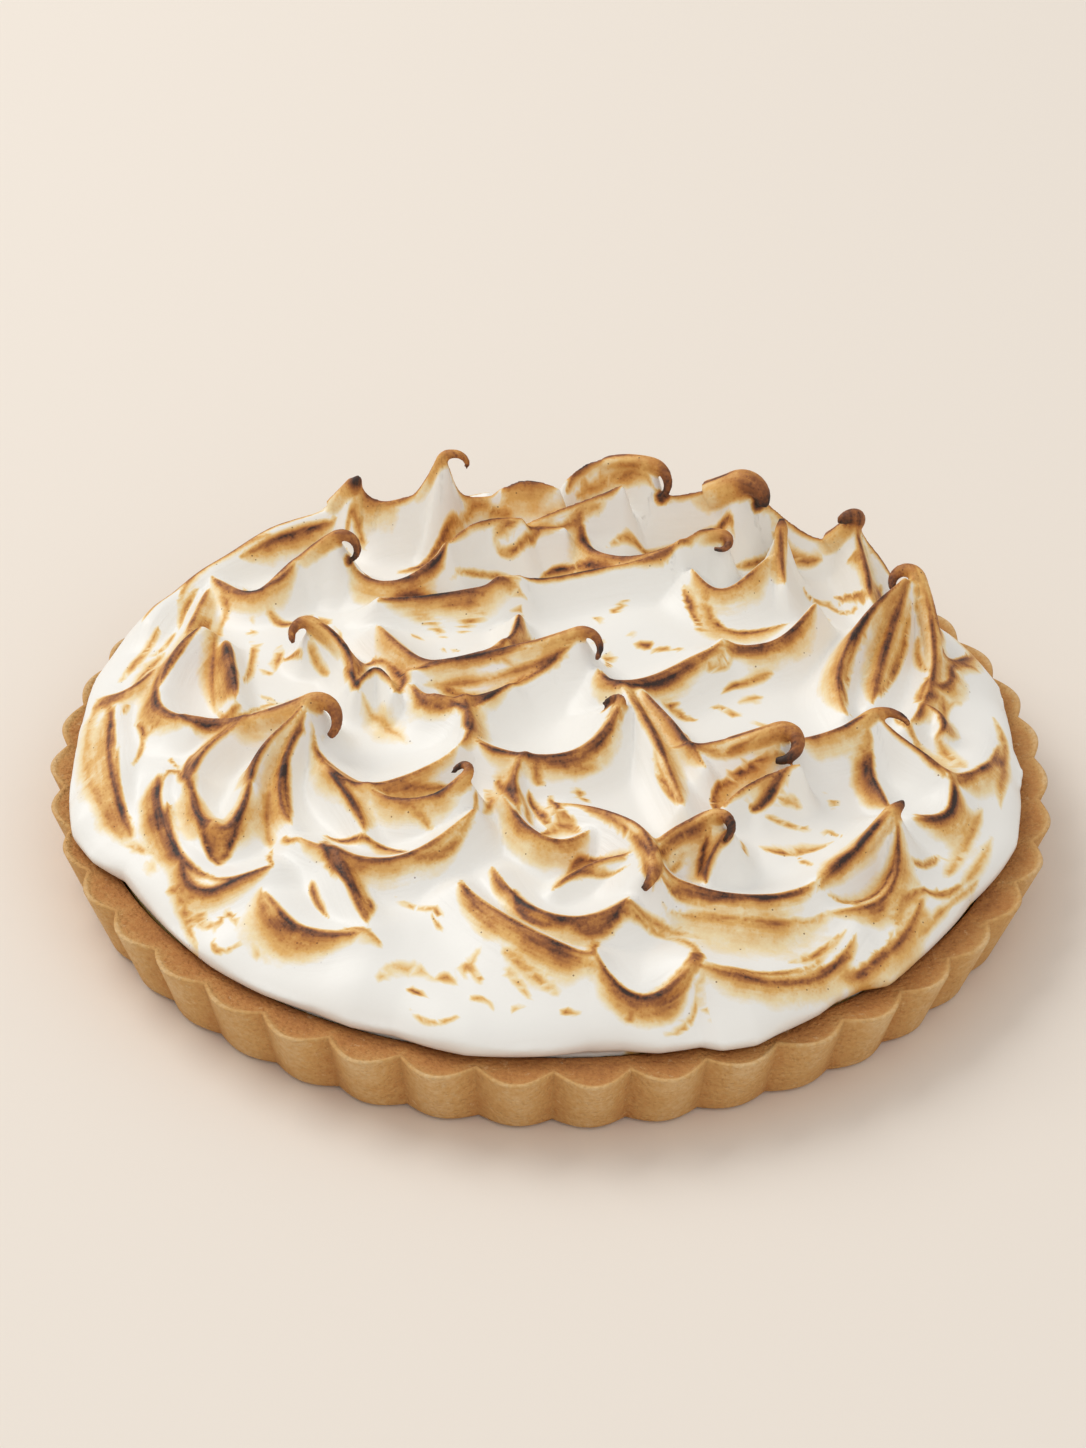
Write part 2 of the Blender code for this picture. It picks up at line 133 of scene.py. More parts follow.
class MaterialKit:
    """Builds one node material with a Principled shader."""

    def __init__(self, name: str) -> None:
        """Makes the empty material.

        Args:
            name: the material's name.
        """
        self.material = bpy.data.materials.new(name)
        self.material.use_nodes = True
        self.tree = self.material.node_tree
        self.shader = self.tree.nodes["Principled BSDF"]

    def node(
        self,
        kind: str,
        settings: Mapping[str, object] | None = None,
        inputs: Mapping[str | int, Value] | None = None,
        output: str | int = 0,
    ) -> Signal:
        """Adds a node.

        Args:
            kind: the node's type.
            settings: its properties, where "stops" are a ramp's (position, colour) pairs.
            inputs: values or signals by socket name or number.
            output: the socket that the signal comes from.

        Returns:
            The chosen output.
        """
        made = self.tree.nodes.new(kind)
        for key, value in (settings or {}).items():
            if key == "stops":
                self._set_stops(made.color_ramp, value)
            else:
                setattr(made, key, value)
        for key, value in (inputs or {}).items():
            self.feed(made.inputs[key], value)
        return Signal(self, made.outputs[output])

    @staticmethod
    def _set_stops(ramp: bpy.types.ColorRamp, stops: Iterable[tuple[float, Colour]]) -> None:
        """Sets a ramp's stops from (position, colour) pairs."""
        for index, (position, colour) in enumerate(stops):
            stop = ramp.elements[index] if index < 2 else ramp.elements.new(position)
            stop.position = position
            stop.color = (*colour, 1.0)

    def feed(self, socket: bpy.types.NodeSocket, value: Value) -> None:
        """Links a signal to an input, or sets the input's value."""
        if isinstance(value, Signal):
            self.tree.links.new(value.socket, socket)
        elif isinstance(value, (tuple, list)) and len(socket.default_value) == 4:
            socket.default_value = (*value, 1.0)
        else:
            socket.default_value = value

    def dress(self, **inputs: Value) -> None:
        """Feeds the Principled shader, with a socket's name in small letters and underscores."""
        for socket in self.shader.inputs:
            key = socket.name.lower().replace(" ", "_")
            if key in inputs:
                self.feed(socket, inputs[key])

    def mix(self, factor: Value, first: Value, second: Value, blend: str = "MIX") -> Signal:
        """Mixes two colours.

        Args:
            factor: 0 for the first and 1 for the second.
            first: a colour or signal.
            second: a colour or signal.
            blend: the Mix node's blend type.

        Returns:
            The mixed colour.
        """
        settings = {"data_type": "RGBA", "blend_type": blend}
        return self.node("ShaderNodeMix", settings, {0: factor, 6: first, 7: second}, output=2)

    def position(self) -> Signal:
        """The point on the piece, in metres."""
        return self.node("ShaderNodeTexCoord", output="Object")

    def attribute(self, name: str, output: str = "Fac") -> Signal:
        """A value that the mesh carries."""
        return self.node("ShaderNodeAttribute", {"attribute_name": name}, output=output)

    def stretched(self, vector: Signal, scale: Point) -> Signal:
        """The vector with each part multiplied."""
        return self.node("ShaderNodeVectorMath", {"operation": "MULTIPLY"}, {0: vector, 1: scale})

    def noise(self, size: float, vector: Signal | None = None, detail: float = 4.0, rough: float = 0.55) -> Signal:
        """Cloudy noise from 0 to 1.

        Args:
            size: the width of its largest blots in mm, or in the vector's own units if one is given.
            vector: what it runs over, if not the place on the piece.
            detail: how many finer layers it has.
            rough: how strong the finer layers are.

        Returns:
            The noise.
        """
        scale = 1 / (size * MM) if vector is None else 1 / size
        place = self.position() if vector is None else vector
        inputs = {"Vector": place, "Scale": scale, "Detail": detail, "Roughness": rough}
        return self.node("ShaderNodeTexNoise", {}, inputs)

    def cells(self, size: float, feature: str = "F1", randomness: float = 1.0) -> Signal:
        """Distance to scattered points, in cells of this width in mm."""
        inputs = {"Vector": self.position(), "Scale": 1 / (size * MM), "Randomness": randomness}
        return self.node("ShaderNodeTexVoronoi", {"feature": feature}, inputs)

    def bump(self, height: Value, depth: float, below: Signal | None = None) -> Signal:
        """A normal bent by a height.

        Args:
            height: the relief, from 0 to 1.
            depth: how deep the whole relief is, in mm.
            below: the normal of a relief that this one lies on.

        Returns:
            The bent normal.
        """
        inputs = {"Height": height, "Distance": depth * MM, "Strength": 1.0}
        if below is not None:
            inputs["Normal"] = below
        return self.node("ShaderNodeBump", {}, inputs)


# ---------------------------------------------------------------- finishes


@dataclass(frozen=True)
class MeringueFinish:
    """Beaten egg white under a gas flame: satin white, golden to black on the crests."""

    white: Colour = (0.88, 0.865, 0.82)
    cream: Colour = (0.87, 0.71, 0.42)
    gold: Colour = (0.76, 0.44, 0.13)
    amber: Colour = (0.55, 0.235, 0.05)
    brown: Colour = (0.30, 0.10, 0.024)
    dark: Colour = (0.13, 0.04, 0.012)
    black: Colour = (0.035, 0.014, 0.008)
    streak_width: float = 1.6  # mm, of the lines that a spatula drags
    blot_size: float = 9.0  # mm, of the mottling of a toasted patch
    bubble_size: float = 1.3  # mm
    speck_size: float = 3.2  # mm between specks

    def material(self) -> bpy.types.Material:
        """Builds the material.

        Returns:
            The material, which reads "toast" and "flow" from the mesh.
        """
        kit = MaterialKit("toasted_meringue")
        toast = kit.attribute("toast")
        flow = kit.attribute("flow", "Vector")
        drag = kit.attribute("drag")
        streaks = (kit.noise(self.streak_width, kit.stretched(flow, (0.06, 1.0, 1.0)), 3.0) - 0.5) * drag
        blots = kit.noise(self.blot_size, detail=5.0, rough=0.6)
        fine = kit.noise(1.1, detail=3.0, rough=0.6)
        swing = streaks * 0.9 + (blots - 0.5) * 1.2 + (fine - 0.5) * 0.35
        level = toast * (1.0 + swing) + (blots - 0.62) * 0.10
        bubbles = kit.cells(self.bubble_size).between(0.36, 0.18)
        level = level + bubbles * toast.between(0.15, 0.5) * 0.06
        stops = (
            (0.0, self.white),
            (0.10, self.white),
            (0.22, self.cream),
            (0.38, self.gold),
            (0.56, self.amber),
            (0.74, self.brown),
            (0.90, self.dark),
            (1.0, self.black),
        )
        colour = kit.node("ShaderNodeValToRGB", {"stops": stops}, {0: level})
        specks = kit.cells(self.speck_size).between(0.10, 0.05) * toast.between(0.05, 0.25)
        colour = kit.mix(specks * 0.8, colour, self.dark)
        relief = streaks * 0.8 + fine * toast * 0.4 + (1 - bubbles) * toast * 0.25 + blots * 0.4
        kit.dress(
            base_color=colour,
            roughness=level.between(0.1, 0.6) * 0.2 + 0.38,
            specular_ior_level=0.42,
            normal=kit.bump(relief, 0.30),
        )
        return kit.material


@dataclass(frozen=True)
class CrustFinish:
    """Baked shortcrust: a sandy golden crumb with pale flour and browned edges."""

    pale: Colour = (0.80, 0.58, 0.32)
    sand: Colour = (0.64, 0.36, 0.125)
    gold: Colour = (0.50, 0.215, 0.06)
    brown: Colour = (0.27, 0.085, 0.024)
    crumb_size: float = 1.5  # mm
    blot_size: float = 14.0  # mm

    def material(self) -> bpy.types.Material:
        """Builds the material.

        Returns:
            The material, which reads from the mesh how browned each place is, with the painted shade of the flute
            notches, from pale at 0 to brown at 1.
        """
        kit = MaterialKit("baked_shortcrust")
        # the crust's browning together with the painted shade in the notches between the flutes
        bake = kit.attribute("bake")
        blots = kit.noise(self.blot_size, detail=5.0)
        crumb = kit.noise(self.crumb_size, detail=5.0, rough=0.7)
        grains = kit.cells(self.crumb_size).between(0.1, 0.6)
        level = bake + (blots - 0.5) * 0.35 + (crumb - 0.5) * 0.55
        stops = ((0.0, self.pale), (0.32, self.sand), (0.62, self.gold), (0.95, self.brown))
        colour = kit.node("ShaderNodeValToRGB", {"stops": stops}, {0: level})
        flour = kit.noise(2.6, detail=3.0, rough=0.7).between(0.62, 0.72)
        colour = kit.mix(flour * 0.35, colour, self.pale)
        relief = crumb * 0.7 + grains * 0.3
        kit.dress(base_color=colour, roughness=0.78, specular_ior_level=0.3, normal=kit.bump(relief, 0.9))
        return kit.material


@dataclass(frozen=True)
class LemonFinish:
    """Set lemon curd: pale, a little cloudy and wet."""

    curd: Colour = (0.62, 0.50, 0.19)
    deep: Colour = (0.50, 0.36, 0.09)

    def material(self) -> bpy.types.Material:
        """Builds the material."""
        kit = MaterialKit("lemon_curd")
        clouds = kit.noise(12.0)
        kit.dress(
            base_color=kit.mix(clouds.between(0.3, 0.7), self.curd, self.deep),
            roughness=kit.noise(5.0) * 0.2 + 0.2,
            subsurface_weight=0.2,
            subsurface_radius=(0.004, 0.003, 0.001),
            subsurface_scale=1.0,
            normal=kit.bump(kit.noise(3.0), 0.4),
        )
        return kit.material


@dataclass(frozen=True)
class FloorFinish:
    """Plain pale warm board."""

    colour: Colour = (0.83, 0.76, 0.68)

    def material(self) -> bpy.types.Material:
        """Builds the material."""
        kit = MaterialKit("pale_floor")
        kit.dress(base_color=self.colour, roughness=0.7, specular_ior_level=0.2)
        return kit.material


# ---------------------------------------------------------------- the strokes of the meringue


def arc_points(start: Point, middle: Point, end: Point, count: int) -> Array:
    """Points along the parabola through three points."""
    share = np.linspace(0.0, 1.0, count)[:, None]
    ends = (np.array(point, float) for point in (start, middle, end))
    weights = (2 * (share - 0.5) * (share - 1), 4 * share * (1 - share), 2 * share * (share - 0.5))
    return sum(point * weight for point, weight in zip(ends, weights))


@dataclass
class Nearest:
    """Where the nearest point of a line lies from each of a set of places."""

    distance: Array
    side: Array
    share: Array
    top: Array


def nearest_on(points: Array, place: Array) -> Nearest:
    """Finds the nearest point of a line to each place.

    Args:
        points: the line's points, (x, y) or (x, y, z) each.
        place: the places, (x, y) each.

    Returns:
        The distance, the side from -1 on the right of the run to 1 on its left, the share of the way along, and
        the line's own z there.
    """
    found = Nearest(np.full(len(place), np.inf), *(np.zeros(len(place)) for _ in range(3)))
    steps = len(points) - 1
    for step, (first, last) in enumerate(zip(points[:-1], points[1:])):
        run = last - first
        along = np.clip((place - first[:2]) @ run[:2] / (run[:2] @ run[:2]), 0, 1)
        offset = place - (first[:2] + along[:, None] * run[:2])
        distance = np.hypot(offset[:, 0], offset[:, 1])
        closer = distance < found.distance
        turn = (run[0] * offset[:, 1] - run[1] * offset[:, 0]) / np.hypot(run[0], run[1])
        found.distance[closer] = distance[closer]
        found.side[closer] = (turn / np.maximum(distance, 1e-6))[closer]
        found.share[closer] = (step + along[closer]) / steps
        if len(run) > 2:
            found.top[closer] = (first[2] + along * run[2])[closer]
    return found


def glow_of(near: Nearest, widths: tuple[float, float], core: float, fade: float) -> Array:
    """How a flame's mark fades from a line: a dark line with a soft band that tapers to both ends.

    Args:
        near: the nearest points of the line.
        widths: how far the band reaches on the left and on the right, in mm.
        core: width of the dark line, in mm.
        fade: share of the length over which the band tapers at each end.

    Returns:
        The strength at each place, from 0 to 1.
    """
    taper = np.sqrt(np.clip(np.minimum(near.share, 1 - near.share) / fade, 0.02, 1))
    left = 0.5 + 0.5 * np.clip(near.side * 2, -1, 1)
    width = (widths[1] + (widths[0] - widths[1]) * left) * taper
    line = np.exp(-((near.distance / core) ** 1.5)) * np.where(near.distance < 3 * core, taper, taper)
    return 0.4 * line + 0.6 * np.clip(1 - near.distance / width / 1.25, 0, 1) * (0.5 + 0.5 * taper)


@dataclass(frozen=True)
class Stroke:
    """One spatula stroke. Its crest is an arc through three points (x, y, height above the skin dome), in mm.

    left and right are the reach of the flanks on the two sides of its run. hook is the length, the heading in
    degrees from +X, the total curl in degrees and the radius at the root of the curled peak at its end. thick is
    the radius of the crest's top. toast is how far the flame has taken it, from 0 for white to 1 for black, and burn is how far
    down the left and the right flank it reaches, if not mostly down the side that the arc bulges to.
    """

    start: Point
    middle: Point
    end: Point
    left: float
    right: float
    hook: tuple[float, float, float, float] | None = None
    thick: float = 0.9
    toast: float = 0.85
    burn: tuple[float, float] | None = None

    def crest(self, count: int = 17) -> Array:
        """Points along the crest, by the parabola through its three points."""
        return arc_points(self.start, self.middle, self.end, count)

    @property
    def glow(self) -> tuple[float, float]:
        """How far the toast reaches down the left and the right flank."""
        if self.burn:
            return self.burn
        return (6.0, 1.5) if self.bow > 0 else (1.5, 6.0)

    @property
    def bow(self) -> float:
        """Which side the arc bulges to: 1 for the left of its run, and -1 for the right."""
        run = np.subtract(self.end, self.start)
        out = np.subtract(self.middle, np.add(self.start, self.end) / 2)
        return math.copysign(1.0, run[0] * out[1] - run[1] * out[0])


STROKES: tuple[Stroke, ...] = (
    # Front, from left to right
    Stroke((-23, -83, -3), (-6, -101, 0), (12, -109, 2), 12, 14, thick=1.2),
    Stroke((12, -108, 2), (23, -118, 0), (37, -110, 1), 16, 10, (4, 110, 60, 1.5)),
    Stroke((38, -110, 2), (62, -108, 0), (80, -89, 0), 14, 12, thick=1.2),
    Stroke((-14, -78, -4), (1, -97, 0), (21, -92, 2), 14, 10),
    Stroke((1, -83, -5), (11, -75, -3), (21, -75, -1), 6, 6),
    Stroke((2, -51, -4), (20, -62, 1), (27, -84, 6), 10, 16, (9, -115, 70, 2.4)),
    Stroke((27, -80, 1), (48, -86, 0), (70, -78, 0), 14, 14),
    Stroke((70, -78, 0), (80, -66, 4), (90, -54, 8), 14, 8, (5, 50, 20, 2.4), thick=1.6),
    Stroke((74, -84, -2), (89, -74, 1), (91, -55, 8), 8, 12, thick=1.4),
    Stroke((76, -100, -2), (89, -90, -1), (98, -71, 0), 8, 10, thick=1.2),
    Stroke((26, -74, 0), (35, -66, 4), (43, -65, 7), 12, 12, (11, -60, 160, 2.1)),
    Stroke((41, -79, -3), (42, -73, 0), (47, -68, 6), 6, 10),
    # Left front
    Stroke((-105, -30, -2), (-104, -46, 0), (-97, -65, 0), 14, 12, thick=2.2),
    Stroke((-97, -65, 0), (-90, -76, 0), (-73, -74, -1), 14, 12, thick=2.2),
    Stroke((-96, -38, 0), (-94, -50, 0), (-89, -57, 1), 12, 10, thick=1.8),
    Stroke((-89, -57, 1), (-84, -58, 1), (-80, -46, 2), 12, 10, thick=1.8),
    Stroke((-80, -46, 2), (-77, -34, 4), (-66, -22, 7), 8, 10, thick=1.2),
    Stroke((-83, -19, 2), (-93, -27, 0), (-96, -38, 0), 10, 12, thick=1.2),
    Stroke((-100, -11, 0), (-82, -18, 3), (-65, -20, 8), 12, 14, (16, -40, 170, 2.8)),
    Stroke((-68, -57, -3), (-72, -42, 0), (-66, -24, 5), 10, 10),
    Stroke((-49, -61, -4), (-53, -51, -1), (-61, -39, 0), 8, 10),
    Stroke((-64, -25, -1), (-50, -46, -1), (-25, -32, 0), 18, 12, thick=0.7),
    Stroke((-25, -32, 0), (-22, -19, 0), (-32, -9, 0), 18, 10, thick=0.7),
    Stroke((-49, -47, -1), (-36, -54, 0), (-23, -51, 5), 8, 12, (10, 150, 230, 1.8)),
    Stroke((-66, -65, -1), (-42, -76, 0), (-20, -60, 1), 16, 12),
    Stroke((-57, -71, -1), (-52, -83, 0), (-47, -95, -3), 10, 12, thick=1.8),
    Stroke((-74, -81, -3), (-64, -95, 0), (-49, -98, -2), 14, 12, thick=1.2),
    # Left
    Stroke((-98, 33, 2), (-104, 22, 2), (-108, 6, 1), 12, 8, thick=1.8),
    Stroke((-108, 6, 1), (-106, -5, 1), (-97, -14, 0), 14, 10, thick=1.8),
    Stroke((-98, 62, 0), (-100, 48, 0), (-102, 34, 0), 8, 8),
    Stroke((-91, 29, -2), (-89, 15, -1), (-86, -1, -1), 6, 6, thick=1.4),
    Stroke((-126, 18, 0), (-118, 13, 0), (-110, 20, -1), 8, 10, thick=1.2),
    Stroke((-120, 7, 0), (-119, -22, 0), (-111, -50, -2), 8, 8, thick=2.5),
    Stroke((-115, 48, 5), (-98, 74, 8), (-66, 91, 8), 10, 10, thick=2.2),
    Stroke((-97, 68, 1), (-85, 52, 0), (-73, 58, 3), 10, 10),
    Stroke((-80, 53, 1), (-72, 60, 6), (-62, 61, 11), 12, 12, (13, -20, 190, 2.0)),
    # Back, from left to right
    Stroke((-74, 92, 4), (-65, 93, 9), (-58, 90, 15), 10, 10, (4, 170, 20, 2.6)),
    Stroke((-58, 90, 15), (-51, 88, 9), (-44, 89, 7), 10, 10),
    Stroke((-50, 86, 5), (-40, 88, 11), (-33, 86, 22.5), 12, 12, (12, 0, 190, 1.8)),
    Stroke((-32, 84, 20), (-28, 88, 10), (-16, 90, 8), 8, 8),
    Stroke((-16, 90, 8), (-10, 88, 14), (0, 86, 12), 8, 12),
    Stroke((-10, 76, 4), (6, 82, 9), (18, 84, 15), 10, 12),
    Stroke((2, 94, 12), (12, 96, 19), (26, 92, 20), 10, 12, (13, -30, 140, 2.2)),
    Stroke((28, 88, 10), (41, 87, 15), (51, 84, 21), 12, 12, (12, -25, 150, 4.2)),
    Stroke((74, 84, 5), (65, 84, 10), (55, 83, 19), 8, 8),
    Stroke((64, 58, 0), (63, 66, 6), (63, 72, 12), 8, 8, (3, 90, 30, 2.0)),
    Stroke((66, 84, 4), (76, 84, 7), (84, 82, 16), 8, 8, (9, 190, 210, 3.0)),
    Stroke((83, 82, 16), (91, 80, 11), (96, 75, 4), 8, 8),
    Stroke((89, 58, 0), (87, 70, 7), (84, 81, 16), 8, 8),
    Stroke((34, 63, 5), (40, 67, 10), (46, 67, 10), 8, 8, (10, -70, 220, 1.7)),
    Stroke((38, 58, 2), (48, 52, 0), (60, 66, 5), 12, 12),
    # Round the back, from left to right
    Stroke((-92, 82, 3), (-84, 98, 1), (-62, 108, 2), 12, 10, thick=1.5),
    Stroke((-60, 100, 4), (-42, 112, 0), (-20, 108, 3), 12, 12),
    Stroke((-16, 100, 5), (2, 114, 0), (24, 108, 4), 12, 12, thick=1.2),
    Stroke((28, 102, 4), (46, 110, 0), (66, 100, 3), 12, 12),
    Stroke((70, 96, 2), (88, 92, 0), (102, 74, 1), 12, 10, thick=1.5),
    # Middle, behind
    Stroke((-58, 61, 2), (-46, 51, 0), (-31, 60, 5), 12, 10),
    Stroke((-31, 60, 5), (-22, 71, 9), (-10, 73, 8), 8, 10),
    Stroke((-18, 70, 1), (-8, 74, 3), (2, 75, 4), 6, 8),
    Stroke((6, 84, 0), (13, 68, 0), (34, 65, 5), 14, 10),
    Stroke((-16, 48, 2), (8, 57, 0), (34, 64, 5), 12, 10),
    Stroke((-49, 42, 0), (-28, 45, 0), (-10, 49, 1), 12, 10),
    Stroke((-49, 30, -1), (-34, 9, 0), (-14, 18, 0), 16, 12, thick=0.7),
    Stroke((-14, 18, 0), (-11, 25, 0), (-10, 35, -1), 10, 6),
    Stroke((-55, 0, 0), (-57, 13, 2), (-66, 22, 5), 8, 10, (11, -160, 170, 2.2)),
    Stroke((-53, -3, 1), (-48, 4, 1), (-43, -6, 1), 6, 8),
    # Middle
    Stroke((-39, 4, 0), (-17, 11, 2), (6, 13, 8), 12, 16, (13, -45, 150, 1.9)),
    Stroke((12, 6, 0), (22, 1, 0), (46, 21, 0), 14, 12, thick=1.6),
    Stroke((46, 21, 0), (60, 25, 0), (72, 41, 4), 10, 12),
    Stroke((-39, -2, 0), (-28, -10, 0), (-12, -1, -1), 10, 12, thick=1.6),
    Stroke((-24, -9, 0), (-23, -17, 0), (-23, -26, 0), 8, 8, thick=1.2),
    Stroke((-20, -29, 0), (4, -34, 0), (18, -14, 3), 18, 12, (9, 135, 170, 1.6)),
    Stroke((-20, -12, -1), (-8, 3, -2), (8, 12, 0), 10, 14),
    Stroke((19, -3, 0), (27, -24, 0), (35, -50, -3), 10, 10, thick=1.2),
    Stroke((24, -3, 0), (31, -16, 0), (41, -34, -2), 8, 10, thick=1.2),
    Stroke((-13, -48, -3), (-2, -68, 0), (10, -62, -3), 10, 8),
    Stroke((-7, -34, -1), (-10, -42, -2), (-8, -52, -3), 6, 6),
    # Middle, right
    Stroke((32, -27, -2), (46, -27, 2), (60, -27, 7), 12, 12, (17, -65, 220, 2.8)),
    Stroke((46, -50, -3), (54, -42, 1), (66, -38, 4), 5, 7),
    Stroke((55, -47, -5), (60, -41, -1), (65, -37, 2), 4, 8),
    Stroke((65, -24, 1), (75, -20, 3), (85, -13, 5), 14, 18, (13, -75, 110, 2.0)),
    Stroke((86, -12, 5), (97, -19, 3), (107, -26, 0), 10, 12),
    Stroke((107, -25, 0), (117, -15, 0), (122, 4, 0), 12, 6),
    Stroke((86, -17, -4), (86, -29, -3), (90, -42, -2), 8, 6),
    Stroke((107, -26, 0), (106, -38, 0), (96, -44, -1), 10, 12),
    Stroke((101, 10, -3), (106, 6, -1), (106, -1, -2), 5, 5),
    # Right
    Stroke((80, -3, -3), (80, 22, 2), (97, 51, 14), 12, 8),
    Stroke((87, 5, -4), (92, 32, 1), (99, 53, 14), 8, 8, thick=2.4),
    Stroke((97, -2, -3), (105, 28, 0), (101, 55, 14), 8, 8, (13, 185, 200, 2.6)),
    Stroke((105, 57, -1), (110, 38, -2), (121, 60, -1), 8, 6),
    Stroke((110, 34, -2), (110, 26, -2), (105, 22, -3), 5, 5),
)

# Radius of the meringue's edge by angle in degrees from +X, where it laps over the crust or stops short
EDGE: tuple[tuple[float, float], ...] = (
    (-180, 130), (-167, 133), (-163, 134), (-158, 132), (-153, 127), (-146, 127), (-139, 128), (-133, 129),
    (-125, 129), (-118, 128), (-113, 129), (-108, 128), (-103, 130), (-99, 131), (-94, 130), (-90, 129),
    (-85, 127), (-81, 127.5), (-77, 130), (-72, 130), (-70, 133), (-66, 134), (-63, 132), (-57, 130),
    (-54, 128), (-50, 128), (-47, 131), (-41, 129), (-36, 128), (-28, 127), (-24, 128), (-20, 129),
    (-15, 130), (-11, 129), (-4, 128), (0, 129), (4, 127), (9, 127.5), (13, 129), (18, 131),
    (30, 129), (45, 131), (60, 129), (75, 130), (90, 131), (105, 129), (120, 131), (135, 130),
    (150, 131), (165, 132), (175, 130),
)  # fmt: skip


@dataclass(frozen=True)
class Scorch:
    """One mark of the flame. Its line is an arc through three points (x, y), in mm.

    left and right are how far it fades out on the two sides of its run, and toast is how dark it is, 0 to 1.
    """

    start: tuple[float, float]
    middle: tuple[float, float]
    end: tuple[float, float]
    left: float
    right: float
    toast: float

    def over(self, x: Array, y: Array) -> Array:
        """How toasted each place is by this mark."""
        points = arc_points(self.start, self.middle, self.end, 9)
        margin = 1.3 * max(self.left, self.right) + 1.0
        low, high = points.min(axis=0) - margin, points.max(axis=0) + margin
        close = (x > low[0]) & (x < high[0]) & (y > low[1]) & (y < high[1])
        toast = np.zeros_like(x)
        near = nearest_on(points, np.stack([x[close], y[close]], axis=-1))
        toast[close] = self.toast * glow_of(near, (self.left, self.right), 0.7, 0.3)
        return toast


